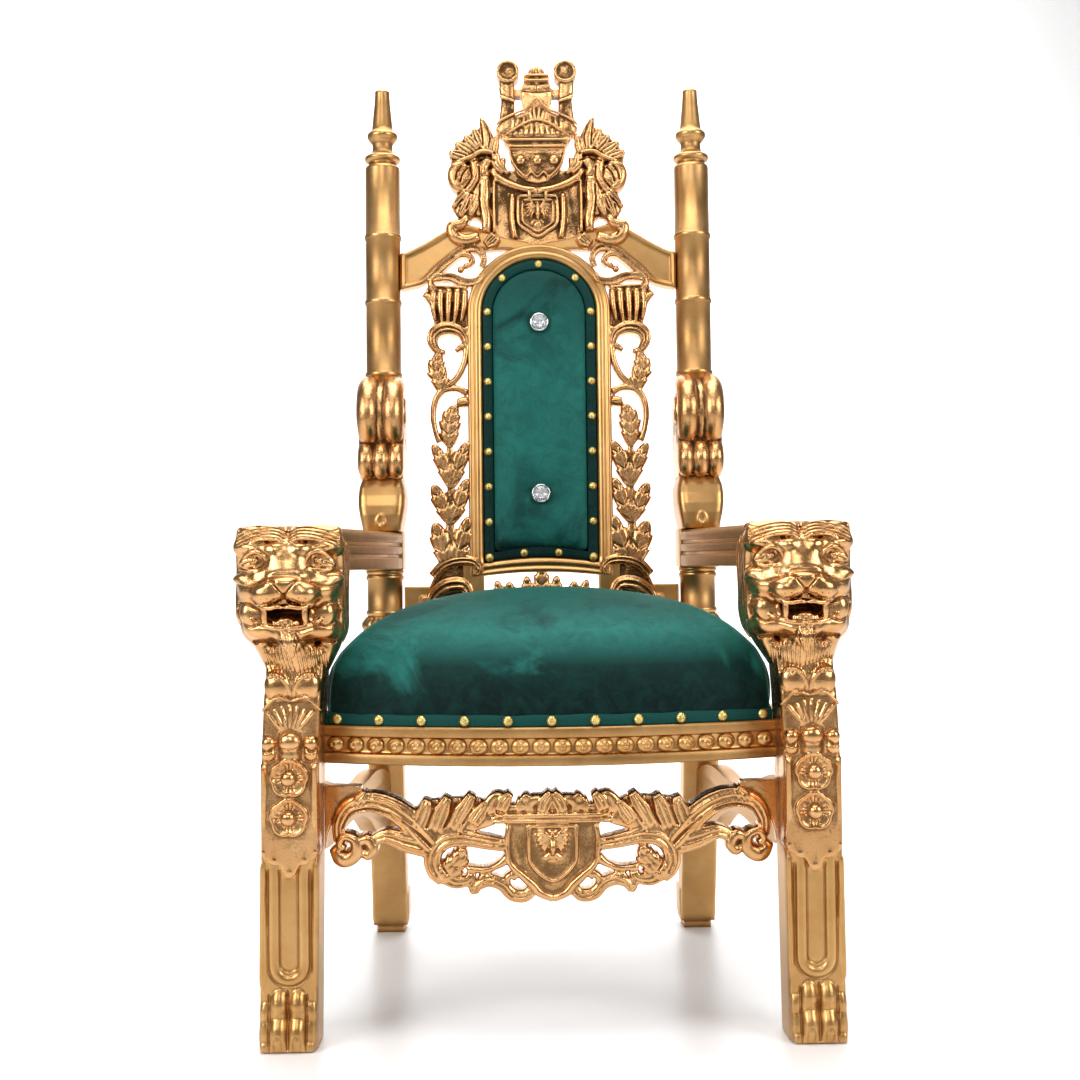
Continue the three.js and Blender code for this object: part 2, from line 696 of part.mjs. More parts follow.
const sideFoliage = [
  // The fluted fan below the shoulder and its turned-out corner
  [[[130, 378], [131, 350], [133, 320]], [24, 26, 20], 2, 'scroll'],
  [[[148, 350], [157, 370], [161, 390]], [8, 8, 3], 1, 'scroll'],
  // The upper scroll and its long stem down to the ring
  [[[134, 284], [150, 292], [152, 314], [128, 324], [106, 312], [105, 290]], [3, 7, 7, 6, 5, 5], 4, 'scroll'],
  [[[105, 294], [108, 262], [137, 232], [151, 212], [151, 175], [144, 150]], [5, 5, 5, 5, 4, 5], 2, 'stem'],
  // The sprig between scroll and ring
  [[[141, 226], [146, 256], [145, 284]], [9, 13, 2], 3, 'leaf'],
  // The ring, the bud and leaf in it
  [[[147, 219], [132, 231], [102, 226]], [5, 6, 6], 2, 'stem'],
  [[[98, 213], [108, 212], [118, 212]], [8, 8, 3], 3, 'scroll'],
  [[[131, 146], [128, 178], [120, 208]], [8, 15, 2], 3, 'leaf'],
  // Three acanthus pairs climbing beside the stile
  [[[129, 92], [136, 118], [152, 150]], [8, 11, 3], 4, 'leaf'],
  [[[128, 92], [116, 120], [100, 156]], [8, 11, 4], 4, 'leaf'],
  [[[130, 38], [139, 64], [152, 92]], [9, 11, 3], 4, 'leaf'],
  [[[129, 38], [116, 70], [102, 100]], [9, 11, 4], 4, 'leaf'],
  [[[136, -26], [142, 6], [150, 38]], [12, 12, 3], 4, 'leaf'],
  [[[126, -26], [114, 14], [101, 46]], [12, 12, 4], 4, 'leaf'],
  // The foot: two rolled leaves over the bracket
  [[[152, -40], [132, -20], [98, -20], [92, -30]], [8, 10, 9, 6], 6, 'scroll'],
  [[[158, -74], [140, -52], [112, -52], [104, -64]], [9, 12, 11, 8], 6, 'scroll'],
];

const shoulderMap = (x, h) => [foliageMap(x, 0)[0], archTopW + h];

const shoulderWork = [
  // The rolled scroll round the pierced opening, and the leaf that closes it below, from the arch's top
  [[[158, -50], [136, -28], [108, -7], [84, -7], [79, -32]], [5, 6, 7, 7, 4], 5, 'scroll'],
  [[[150, -48], [116, -55], [78, -38]], [5, 8, 5], 4, 'scroll'],
];

// The sloping board from the arch's top to the post. Heights are measured from the arch's top.
function shoulderPlate(grow) {
  const low = [[postHalfSpan, -64], [167, -57], [146, -38], [124, -19], [106, -6], [90, 0], [70, -16], [60, -12], [-4, -6]];
  const high = [[-4, 6], [60, 10], [98, 29], [124, 24], [160, 4], [187, -9], [postHalfSpan, -13]];
  return shapeOf([
    ...low.map(([x, h]) => [x, archTopW + h - grow]),
    ...high.map(([x, h]) => [x, archTopW + h + grow]),
  ]);
}

// The plain ground of the frame: arch, stiles, shoulders and foot rail, without carving
function frameGround(grow) {
  const half = frameThickness / 2 + grow;
  const ring = padOutline(stileWidth + grow);
  const arch = prismAlongY(ring, -half, half, 9);
  const shoulder = prismAlongY(shoulderPlate(grow), -half + 4, half - 4);
  const bracket = box([stileEdge + 40, -half + 3, -84], [postHalfSpan, half - 3, -51]);
  const foot = box([-stileEdge - foliageReach, -half, frameFootW], [stileEdge + foliageReach, half, -66]);
  const stile = box([padHalfWidth - 2, -half, frameFootW], [stileEdge + 8, half, 0]);
  return union([arch, foot, shoulder, mirroredAcross(shoulder), bracket, mirroredAcross(bracket),
    stile, mirroredAcross(stile)]);
}

function backFrame(posts) {
  const half = frameThickness / 2;
  const rear = foliageThickness - half;
  const carved = [
    ...sideFoliage.map((s) => stroke(s, foliageMap, -half + 4, rear)),
    ...shoulderWork.map((s) => stroke(s, shoulderMap, -half + 4, rear)),
  ];
  const berries = [[114, -23], [100, -15]].map(([x, h]) => {
    const [bx, bw] = shoulderMap(x, h);
    return ball([bx, -2, bw], [8, 9, 9], 6, 3);
  });
  const sunkField = [[190, -56], [190, -16], [128, 18], [100, 20], [128, -10], [158, -48]];
  const field = prismAlongY(shapeOf(sunkField.map(([x, h]) => shoulderMap(x, h))), -half - 1, -half + 7);
  const underArch = new THREE.Shape();
  underArch.moveTo(-78, -66);
  underArch.lineTo(-78, -50);
  underArch.quadraticCurveTo(0, -2, 78, -50);
  underArch.lineTo(78, -66);
  const palmette = [[0, -28], [21, -42], [-21, -42], [54, -44], [-54, -44]].map(([x, top]) => stroke(
    [[[x * 0.85, -70], [x, (top - 70) / 2], [x * 1.06, top]], [10, 11, 2], 3, 'scroll'],
    (a, b) => [a, b], -half + 6, half - 6));
  const opening = prismAlongY(padOutline(0), -half - 5, half + 5, 9);
  const coveEdge = prismAlongY(padOutline(6), -half - 5, -half + 3, 9);
  const body = union([
    frameGround(0).subtract(prismAlongY(underArch, -half - 5, half + 5, 4)).subtract(union([field, mirroredAcross(field)])),
    bothSides([...carved, ...berries]),
    ...palmette,
  ]);
  return body.subtract(opening).subtract(coveEdge).subtract(posts);
}

// Crest, drawn from the arch's top upwards and scaled to its size

const crestDrawn = { width: 260, height: 274, foot: 434 };
const crestFootW = archTopW - 6;
const crestMap = (x, w) => [
  (x * crestWidth) / crestDrawn.width,
  crestFootW + ((w - crestDrawn.foot) * crestHeight) / crestDrawn.height,
];

const crestWork = [
  // Plume of flame leaves
  [[[67, 566], [75, 596], [80, 624]], [8, 10, 2], 6, 'leaf'],
  [[[62, 566], [61, 582], [57, 597]], [6, 6, 2], 4, 'scroll'],
  [[[74, 564], [88, 580], [99, 598]], [8, 9, 3], 5, 'scroll'],
  [[[80, 562], [98, 572], [114, 586]], [8, 9, 3], 5, 'scroll'],
  [[[56, 570], [82, 563], [110, 562], [128, 571]], [6, 7, 8, 3], 6, 'scroll'],
  // Rolled mane and the strands below it
  [[[110, 556], [127, 541], [117, 520], [100, 526], [108, 540]], [7, 9, 9, 9, 7], 7, 'scroll'],
  [[[74, 564], [84, 542], [96, 516]], [8, 10, 7], 6, 'scroll'],
  [[[104, 520], [116, 506], [121, 490]], [9, 9, 3], 4, 'scroll'],
  [[[92, 522], [98, 500], [96, 472]], [14, 13, 9], 5, 'leaf'],
  [[[72, 566], [74, 510], [66, 450]], [7, 9, 6], 5, 'scroll'],
  // Foot scroll round its hole
  [[[106, 486], [117, 470], [104, 451], [80, 452], [64, 446]], [7, 9, 9, 9, 9], 6, 'scroll'],
  // Swag over the panel
  [[[68, 552], [42, 528], [-4, 517]], [8, 7, 6], 6, 'scroll'],
  // The horn at the side of the crown
  [[[44, 604], [42, 644], [43, 668], [42, 692]], [12, 11, 10, 10], 3, 'scroll'],
];

function crestCentre(front, back) {
  const parts = [];
  const slab = (points, y0) => parts.push(prismAlongY(shapeOf(points.map(([x, w]) => crestMap(x, w))), y0, back));
  const mirrored = (points) => [...points, ...points.map(([x, w]) => [-x, w]).reverse()];
  slab(mirrored([[0, 433], [14, 442], [56, 449], [64, 458], [64, 536], [44, 550], [0, 550]]), front + 4);
  slab(mirrored([[0, 450], [28.5, 469], [28.5, 510], [0, 510]]), front - 1);
  slab(mirrored([[0, 528], [18, 532], [32, 545], [40.5, 564], [40.5, 580], [0, 580]]), front - 2);
  slab(mirrored([[0, 579], [41, 579], [49, 593], [48, 599], [0, 619]]), front - 5);
  slab(mirrored([[0, 596], [48, 596], [60, 610], [28, 630], [16, 636], [0, 653]]), front);
  slab(mirrored([[0, 640], [16, 636], [22, 658], [36, 658], [36, 668], [22, 668], [18, 678], [0, 678]]), front + 3);
  slab(mirrored([[0, 676], [18.4, 678], [18.4, 686], [13, 697], [0, 706]]), front + 1);
  for (const x of [-24, 0, 24]) {
    const [bx, bw] = crestMap(x, 562);
    parts.push(ball([bx, front - 2, bw], [7, 5, 7], 6, 3));
  }
  for (const side of [-1, 1]) {
    const [dx, dw] = crestMap(41.5, 692);
    const disc = new THREE.CylinderGeometry(16.3, 16.3, back - front + 2, 12);
    parts.push(solid(disc.translate(side * dx, (front - 2 + back) / 2, dw)));
  }
  return parts;
}

// A generic spread-winged bird for the two shields, raised about its middle
function shieldBird(x, w, size, map, front, back) {
  const half = [[1.5, 14], [4, 9], [10, 13], [16, 12], [14, 2], [9, -7], [4, -4], [5, -13]];
  const outline = [...half, ...half.map(([a, b]) => [-a, b]).reverse()];
  return prismAlongY(shapeOf(outline.map(([a, b]) => map(x + a * size, w + b * size))), front, back);
}

function crest(frame) {
  const front = -frameThickness / 2 - 2;
  const back = crestThickness + front;
  const strokes = bothSides(crestWork.map((s) => stroke(s, crestMap, front + 3, back)));
  const body = union([strokes, ...crestCentre(front, back),
    shieldBird(0, 484, 1.1, crestMap, front - 3, front)]);
  return body.subtract(frame);
}

// Upholstered back

function padFlangeRing() {
  const half = frameThickness / 2;
  const shape = padOutline(-jointGap);
  shape.holes.push(padOutline(-padFlange, new THREE.Path()));
  return prismAlongY(shape, -half + 3, -half + 3 + flangeThickness, 8);
}

function backPad() {
  const half = frameThickness / 2;
  const front = -half + 3 - padProud;
  const ring = (grow, y) => {
    const points = padOutline(grow).getPoints(8).slice(0, -1);
    return points.filter((p, i) => i === 0 || p.distanceTo(points[i - 1]) > 0.5).map((p) => [p.x, y, p.y]);
  };
  const inner = -padFlange - jointGap;
  return loft([ring(inner, -half + 3 + padThickness), ring(inner, front + 6), ring(inner - 4, front + 1.5),
    ring(inner - 20, front - 4), ring(inner - 44, front - 6)]);
}

function rearCover() {
  const rear = frameThickness / 2;
  return prismAlongY(padOutline(6), rear + jointGap, rear + jointGap + coverThickness, 8);
}

function domedStud(radius, height, segments) {
  const profile = [[0, 0], [radius, 0], [radius * 0.8, height * 0.6], [0, height]];
  return turned(profile.reverse().map(([r, h]) => [r, -h]), segments);
}

function stud(radius, height, segments) {
  const front = solid(geometryOf(domedStud(radius, height, segments)).rotateX(-Math.PI / 2));
  return geometryOf(front);
}

// Places along the pad's flange for the nails, evenly by length
function padNailPlaces() {
  const line = padOutline(-padFlange / 2);
  const [sides, arch, foot] = [8, 4, 4];
  const half = padHalfWidth - padFlange / 2;
  const low = padCornerW + padFlange / 2;
  const places = [];
  for (let i = 0; i < sides; i += 1) {
    const w = low + ((padSpringW - low) * i) / (sides - 1);
    places.push([half, w], [-half, w]);
  }
  for (let i = 1; i < arch; i += 1) {
    const a = (Math.PI * i) / arch;
    places.push([half * Math.cos(a), padSpringW + (padArchRise - padFlange / 2) * Math.sin(a)]);
  }
  for (let i = 1; i < foot - 1; i += 1) {
    const share = i / (foot - 1);
    const point = line.curves[0].getPoint(share);
    places.push([point.x, point.y]);
  }
  return places;
}

// Apron

const apronDrawn = { reach: 258, top: 283, bottom: 162 };
const apronReach = railHalfSpan - legWidth / 2 + 3;
const apronMap = (x, z) => [
  (x * apronReach) / apronDrawn.reach,
  apronBottomZ + ((z - apronDrawn.bottom) * (apronTopZ - apronBottomZ)) / (apronDrawn.top - apronDrawn.bottom),
];

const apronWork = [
  // The large scroll from the end volute up and over to the body
  [[[226, 226], [227, 210], [243, 214], [240, 228]], [9, 9, 9, 8], 5, 'scroll'],
  [[[240, 226], [234, 256], [203, 270], [168, 258], [140, 228]], [8, 9, 10, 12, 17], 4, 'scroll'],
  // The lower branch and its small volute
  [[[140, 222], [176, 229], [202, 228], [208, 214]], [14, 11, 10, 7], 3, 'leaf'],
  // Flame leaves along the top
  [[[148, 240], [142, 260], [137, 276]], [11, 10, 3], 3, 'scroll'],
  [[[126, 240], [121, 262], [114, 277]], [11, 11, 3], 3, 'scroll'],
  [[[104, 240], [96, 264], [87, 281]], [12, 12, 4], 3, 'scroll'],
  [[[88, 240], [80, 256], [72, 271]], [10, 9, 3], 3, 'scroll'],
  [[[142, 240], [104, 243], [62, 252]], [11, 11, 7], 1, 'scroll'],
  // The hooked scroll at the shield's side and the leaf that curls in it
  [[[48, 223], [92, 230], [127, 222], [133, 190]], [8, 9, 10, 10], 5, 'scroll'],
  [[[132, 190], [112, 200], [101, 221]], [9, 12, 3], 4, 'leaf'],
  // The bottom scroll round its hole, and the stem that joins it to the leaf
  [[[120, 188], [92, 180], [68, 181], [44, 168], [22, 176]], [8, 6, 8, 7, 7], 4, 'scroll'],
  [[[104, 200], [74, 197], [46, 208]], [6, 4, 7], 2, 'stem'],
  // Crown over the shield
  [[[70, 256], [58, 268], [46, 281]], [8, 9, 4], 4, 'scroll'],
  [[[48, 272], [33, 264], [18, 268]], [7, 5, 7], 3, 'scroll'],
  [[[24, 252], [12, 268], [-3, 281]], [8, 9, 5], 4, 'scroll'],
];

function apron(keepClear) {
  const front = apronFrontY;
  const back = front + apronThickness;
  const shape = (points) => shapeOf(points.map(([x, z]) => apronMap(x, z)));
  const mirrored = (points) => [...points, ...points.map(([x, z]) => [-x, z]).reverse()];
  const corner = [[262, 212], [262, 288], [214, 288], [214, 272], [236, 254], [246, 234]];
  const parts = [
    bothSides([...apronWork.map((s) => stroke(s, apronMap, front + 4, back)),
      prismAlongY(shape(corner), front + 5, back)]),
    prismAlongY(shape(mirrored([[0, 246], [62, 246], [66, 258], [0, 258]])), front - 2, back),
    prismAlongY(shape(mirrored([[0, 162], [9, 163], [24, 177], [36, 187], [49, 200], [53, 226], [51, 246], [0, 246]])),
      front + 1, back),
    prismAlongY(shape(mirrored([[0, 186], [18, 200], [26, 220], [26, 244], [0, 244]])), front - 2, back),
    shieldBird(0, 222, 1.15, apronMap, front - 4, front),
  ];
  const geometry = geometryOf(union(parts));
  const position = geometry.getAttribute('position');
  for (let i = 0; i < position.count; i += 1) {
    position.setY(i, position.getY(i) + bowAt(position.getX(i), apronBow));
  }
  return solid(geometry).subtract(keepClear);
}

// Side stretcher: a shaped board from the front leg back to the kicked back leg
function sideStretcher(backLegBody) {
  const [y0, y1] = [legBackY + jointGap, postY + 12];
  const board = new THREE.Shape();
  board.moveTo(y0, 214);
  board.quadraticCurveTo(y0 + 60, 186, y0 + 140, 204);
  board.quadraticCurveTo(y0 + 230, 224, y0 + 290, 176);
  board.quadraticCurveTo(y0 + 330, 160, y1, 168);
  board.lineTo(y1, 236);
  board.quadraticCurveTo(y0 + 330, 262, y0 + 270, 252);
  board.quadraticCurveTo(y0 + 190, 236, y0 + 120, 262);
  board.quadraticCurveTo(y0 + 60, 288, y0, 282);
  const flat = geometryOf(prismAlongX(board, -stretcherThickness / 2, stretcherThickness / 2, 5));
  const position = flat.getAttribute('position');
  for (let i = 0; i < position.count; i += 1) {
    const share = (position.getY(i) - y0) / (y1 - y0);
    position.setX(i, position.getX(i) + railHalfSpan + (postHalfSpan - railHalfSpan) * share);
  }
  return solid(flat).subtract(backLegBody);
}

// The whole throne

const throne = new THREE.Group();
throne.name = 'throne';

function piece(name, made, finish, parent = throne) {
  const geometry = made.isBufferGeometry ? made : geometryOf(made);
  const mesh = new THREE.Mesh(geometry, new THREE.MeshStandardMaterial(finish));
  mesh.name = name;
  parent.add(mesh);
  return mesh;
}

// Right is the +X side, as seen from the front
function pairOf(name, made, finish) {
  piece(`${name}_right`, made, finish);
  piece(`${name}_left`, made, finish).scale.x = -1;
}

const legs = [legClearance(jointGap)];
legs.push(mirroredAcross(legs[0]));
const bothLegs = union(legs);

pairOf('front_leg', frontLeg(), leafGold);
pairOf('arm', armRail(), gilt);
pairOf('back_post', backPost(), gilt);
pairOf('side_rail', sideRail(), gilt);
pairOf('side_stretcher', sideStretcher(backLeg(jointGap)), gilt);
piece('front_rail', frontRail(bothLegs), gilt);
piece('back_rail', backRail(), gilt);
piece('apron', apron(bothLegs), leafGold);
piece('dust_cover', dustCover(), blackCloth);
piece('seat_cushion', seatCushion(bothLegs), velvet);
piece('seat_band', seatBand(bothLegs), velvet);

const back = new THREE.Group();
back.position.copy(backOrigin);
back.rotation.x = -backRake;
throne.add(back);

const sidePost = moved(turnedPost(jointGap), new THREE.Matrix4().makeTranslation(postHalfSpan, 0, 0));
const bothPosts = union([sidePost, mirroredAcross(sidePost)]);
piece('back_frame', backFrame(bothPosts), gilt, back);
piece('crest', crest(frameGround(jointGap)), leafGold, back);
piece('back_pad', backPad(), velvet, back);
piece('back_band', padFlangeRing(), velvet, back);
piece('rear_cover', rearCover(), velvet, back);

const padFaceV = -frameThickness / 2 + 3;
padNailPlaces().forEach(([x, w], i) => {
  const nail = piece(`back_nail_${String(i + 1).padStart(2, '0')}`, stud(nailRadius, nailHeight, 6), brassNail, back);
  nail.position.set(x, padFaceV - jointGap, w);
});
[['upper', buttonUpperW], ['lower', buttonLowerW]].forEach(([name, w]) => {
  const button = piece(`crystal_button_${name}`, stud(buttonRadius, buttonHeight, 10), crystal, back);
  button.position.set(0, padFaceV - padProud - 6 - jointGap, w);
});

const railReach = railHalfSpan - legWidth / 2;
for (let i = 0; i < seatNailCount; i += 1) {
  const x = (railReach - 14) * (-1 + (2 * i) / (seatNailCount - 1));
  const nail = piece(`seat_nail_${String(i + 1).padStart(2, '0')}`, stud(nailRadius, nailHeight, 6), brassNail);
  nail.position.set(x, railEndY + 4 + bowAt(x, railBow) - jointGap, railTopZ + jointGap + bandHeight / 2);
  nail.rotation.z = Math.atan((2 * railBow * x) / railReach ** 2);
}

export default throne;
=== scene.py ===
"""A child's carved and gilded throne: lion-head arms, an openwork back with a crest, and green velvet."""

import math

import bpy
import numpy as np
from mathutils import Euler, Matrix, Vector
from mathutils.geometry import tessellate_polygon


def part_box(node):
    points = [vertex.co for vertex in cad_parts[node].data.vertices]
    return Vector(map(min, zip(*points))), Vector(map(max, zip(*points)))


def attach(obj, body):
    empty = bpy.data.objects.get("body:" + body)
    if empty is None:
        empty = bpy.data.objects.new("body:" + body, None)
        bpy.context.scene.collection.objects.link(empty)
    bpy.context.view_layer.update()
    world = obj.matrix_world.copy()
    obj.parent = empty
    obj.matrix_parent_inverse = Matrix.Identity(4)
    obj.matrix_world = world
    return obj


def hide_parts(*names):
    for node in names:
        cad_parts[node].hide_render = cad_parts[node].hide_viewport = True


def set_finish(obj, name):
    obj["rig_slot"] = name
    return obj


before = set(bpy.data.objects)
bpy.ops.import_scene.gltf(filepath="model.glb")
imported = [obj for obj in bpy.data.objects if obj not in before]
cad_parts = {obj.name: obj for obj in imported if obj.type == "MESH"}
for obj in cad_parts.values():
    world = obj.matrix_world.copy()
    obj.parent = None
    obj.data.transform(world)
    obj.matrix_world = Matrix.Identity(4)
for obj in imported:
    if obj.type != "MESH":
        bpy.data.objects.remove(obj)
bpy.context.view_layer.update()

bl_info = {
    "name": "Carved throne",
    "version": (1, 0, 0),
    "blender": (4, 5, 0),
    "location": "View3D > Sidebar > Throne",
    "description": "Builds a small gilded throne with lion-head arms and velvet upholstery",
    "category": "Object",
}

# Sizes below are millimetres in the throne's frame: x across, y into the depth, z up from the floor

MM = 0.001
JOINT_GAP = 0.3

SNOUT_Y = -285
LEG_FRONT_Y = -250
LEG_BACK_Y = -188
HEAD_REAR_Y = LEG_BACK_Y + 20
LEG_WIDTH = 65
FOOT_HALF_SPAN = 295
RAIL_HALF_SPAN = 289
HEAD_X = 280
HEAD_Y = SNOUT_Y + 63
HEAD_Z = 510
HEAD_BASE_Z = 417

RAIL_TOP_Z = 355
RAIL_HEIGHT = 43
RAIL_END_Y = -207
RAIL_BOW = 50
RAIL_REACH = RAIL_HALF_SPAN - LEG_WIDTH / 2
BAND_HEIGHT = 13
CUSHION_CROWN = 148

POST_X = 224
POST_Y = 200
LOWER_POST_Y = POST_Y - 3
BLOCK_HALF = 28
BACK_LEG_HALF = 23
BACK_FOOT_Y = 262
REAR_Y = 285
POST_TOP_W = 668
ARM_BOTTOM_Z = 530
ARM_HEIGHT = 51
BACK_RAKE = 0.03
BACK_ORIGIN = (0, POST_Y, 555)

PAD_HALF = 81
PAD_SPRING_W = 342
PAD_RISE = 76
PAD_FOOT_W = -18
PAD_FOOT_RISE = 8
PAD_FLANGE = 14
STILE_WIDTH = 22
FRAME_FRONT = -14
FRAME_BACK = 14

CREST_FRONT = -13
CREST_BACK = 10
HORN_X = 41.4
HORN_W = 691.5
BUTTON_HEIGHTS = (324, 79)
NAIL_HEIGHT = 4.6

# The camera, in metres and degrees, as it stood for the photograph

CAMERA_PLACE = (-0.042, -1.79, 0.54)
CAMERA_TURNS = ((-1.16, "Z"), (90.83, "X"), (-0.6, "Z"))


# Curves and closed shapes. Every shape is a pair of (points, faces).


def curve_through(points, steps):
    """Even steps along a smooth curve through the points."""
    p = np.array(points, float)
    knots = np.r_[0, np.cumsum(np.sqrt(np.linalg.norm(np.diff(p, axis=0), axis=1)) + 1e-9)]
    slope = np.empty_like(p)
    slope[1:-1] = (p[2:] - p[:-2]) / (knots[2:] - knots[:-2])[:, None]
    slope[0] = (p[1] - p[0]) / (knots[1] - knots[0])
    slope[-1] = (p[-1] - p[-2]) / (knots[-1] - knots[-2])
    fine = np.linspace(0, knots[-1], steps * 4 + 1)
    i = np.clip(np.searchsorted(knots, fine, side="right") - 1, 0, len(p) - 2)
    span = (knots[i + 1] - knots[i])[:, None]
    s = ((fine - knots[i])[:, None]) / span
    curve = (
        (2 * s**3 - 3 * s**2 + 1) * p[i]
        + (s**3 - 2 * s**2 + s) * span * slope[i]
        + (-2 * s**3 + 3 * s**2) * p[i + 1]
        + (s**3 - s**2) * span * slope[i + 1]
    )
    run = np.r_[0, np.cumsum(np.linalg.norm(np.diff(curve, axis=0), axis=1))]
    even = np.linspace(0, run[-1], steps + 1)
    return np.stack([np.interp(even, run, curve[:, k]) for k in range(p.shape[1])], axis=1)


def spread(values, t):
    """A list of values spaced evenly over 0..1, read at t."""
    return np.interp(t, np.linspace(0, 1, len(values)), values)


def loft(rings):
    """Joins equal rings of points into one closed body."""
    rings = np.array(rings, float)
    m, n, _ = rings.shape
    points = np.vstack([rings.reshape(-1, 3), rings[0].mean(axis=0), rings[-1].mean(axis=0)])
    faces = []
    for i in range(m - 1):
        for j in range(n):
            k = (j + 1) % n
            faces.append((i * n + j, i * n + k, (i + 1) * n + k, (i + 1) * n + j))
    for j in range(n):
        k = (j + 1) % n
        faces.append((m * n, k, j))
        faces.append((m * n + 1, (m - 1) * n + j, (m - 1) * n + k))
    return points, faces


def ball(centre, radii, tilt=(0, 0, 0), around=20, down=12):
    """An ellipsoid, tilted about x, y and z in radians."""
    rings = []
    for i in range(down + 1):
        a = math.pi * max(0.02, min(0.98, i / down))
        ring = [
            (math.sin(a) * math.cos(b), math.sin(a) * math.sin(b), math.cos(a))
            for b in np.linspace(0, 2 * math.pi, around, endpoint=False)
        ]
        rings.append(ring)
    points, faces = loft(rings)
    turn = np.array(Euler(tilt).to_matrix())
    return (points * np.array(radii)) @ turn.T + np.array(centre), faces


def tube(points, radii, around=10):
    """A round strand along a curve in space, with rounded ends."""
    steps = max(8, len(points) * 6)
    centre = curve_through(points, steps)
    t = np.linspace(0, 1, steps + 1)
    radius = spread(radii, t) * np.clip(1 - np.abs(2 * t - 1) ** 12, 0.05, 1) ** 0.5
    tangent = np.gradient(centre, axis=0)
    tangent /= np.linalg.norm(tangent, axis=1)[:, None] + 1e-9
    guide = np.array([0.31, -0.92, 0.23])
    side = np.cross(tangent, guide)
    side /= np.linalg.norm(side, axis=1)[:, None] + 1e-9
    up = np.cross(side, tangent)
    angle = np.linspace(0, 2 * math.pi, around, endpoint=False)
    rings = [
        [centre[i] + radius[i] * (math.cos(a) * side[i] + math.sin(a) * up[i]) for a in angle]
        for i in range(steps + 1)
    ]
    return loft(rings)


def slab(outline, front, back):
    """A plate drawn in x and w, between two depths."""
    flat = [(float(x), float(w)) for x, w in outline]
    n = len(flat)
    points = np.array([(x, front, w) for x, w in flat] + [(x, back, w) for x, w in flat])
    faces = [(i, (i + 1) % n, (i + 1) % n + n, i + n) for i in range(n)]
    for a, b, c in tessellate_polygon([[Vector((x, w, 0)) for x, w in flat]]):
        faces.append((c, b, a))
        faces.append((a + n, b + n, c + n))
    return points, faces


def disc(centre, radius, front, back, around=40):
    """A round plate facing the front."""
    angles = np.linspace(0, 2 * math.pi, around, endpoint=False)
    return slab([(centre[0] + radius * math.cos(a), centre[1] + radius * math.sin(a)) for a in angles],
                front, back)


def turned(profile, around=64):
    """Turns [radius, height] pairs about the z axis."""
    angles = np.linspace(0, 2 * math.pi, around, endpoint=False)
    rings = [[(max(r, 0.01) * math.cos(a), max(r, 0.01) * math.sin(a), h) for a in angles]
             for r, h in profile]
    return loft(rings)


def brick(low, high):
    """A box between two corners."""
    x0, y0, z0 = low
    x1, y1, z1 = high
    return slab([(x0, z0), (x1, z0), (x1, z1), (x0, z1)], y0, y1)


def swept(section, path):
    """A closed section of [across, up] pairs carried level along a path of (x, y) points."""
    path = np.array(path, float)
    run = np.gradient(path, axis=0)
    run /= np.linalg.norm(run, axis=1)[:, None]
    rings = []
    for (x, y), (dx, dy) in zip(path, run):
        rings.append([(x + a * dy, y - a * dx, z) for a, z in section])
    return loft(rings)


def shifted(shape, by):
    points, faces = shape
    return points + np.array(by, float), faces


def mirrored(shape):
    points, faces = shape
    return points * np.array([-1, 1, 1]), [tuple(reversed(f)) for f in faces]


def both(shapes):
    """The shapes and their mirror images across the middle."""
    return list(shapes) + [mirrored(s) for s in shapes]


def flipped(line):
    return [(-x, z) for x, z in line]


def both_sides(cuts):
    """The cuts and their mirror images across the middle."""
    return cuts + [(flipped(line), width, depth) for line, width, depth in cuts]


# Carved strokes on a board: a section across each stroke, raised from the board's face


def arched(u, power):
    """A section that falls to nothing at its edges, the more suddenly the higher the power."""
    return np.sqrt(np.clip(1 - u**power, 0, 1))


SECTIONS = {
    "round": lambda u: arched(u, 2),
    "hollow": lambda u: arched(u, 8) * (0.62 + 0.38 * np.abs(u) ** 1.6),
    "reeded": lambda u: arched(u, 4) * (0.8 - 0.2 * np.cos(math.pi * 3 * u)),
    "veined": lambda u: arched(u, 6) * (0.66 + 0.34 * np.abs(np.cos(math.pi * 1.5 * u))),
}


def along(points, least, most, pitch):
    """Even points along a stroke, with the share of its length, the normal and the direction at each."""
    length = sum(math.dist(a, b) for a, b in zip(points, points[1:]))
    steps = int(max(least, min(most, length / pitch)))
    line = curve_through(points, steps)
    tangent = np.gradient(line, axis=0)
    tangent /= np.linalg.norm(tangent, axis=1)[:, None] + 1e-9
    normal = np.stack([-tangent[:, 1], tangent[:, 0]], axis=1)
    return line, np.linspace(0, 1, steps + 1), normal, tangent


def backed(across, depths, back):
    """A ring over the carved face and behind it at the back of the board."""
    ring = [(x, depth, w) for (x, w), depth in zip(across, depths)]
    return ring + [(across[-1][0], back, across[-1][1]), (across[0][0], back, across[0][1])]


def stroke(points, widths, proud, form, board, taper=True):
    """A carved stroke: (x, w) points, half widths along it, how proud it stands and its section."""
    front, back = board
    line, t, normal, _ = along(points, 10, 70, 1.6)
    half = spread(widths, t)
    u = np.linspace(-1, 1, 17)
    top = SECTIONS[form](u)
    rise = np.clip(1 - np.abs(2 * t - 1) ** 10, 0.1, 1) ** 0.5 if taper else np.ones_like(t)
    rings = []
    for i in range(len(t)):
        across = line[i] + np.outer(u * half[i], normal[i])
        rings.append(backed(across, front - proud * top * rise[i] * min(1, half[i] / 4), back))
    return loft(rings)


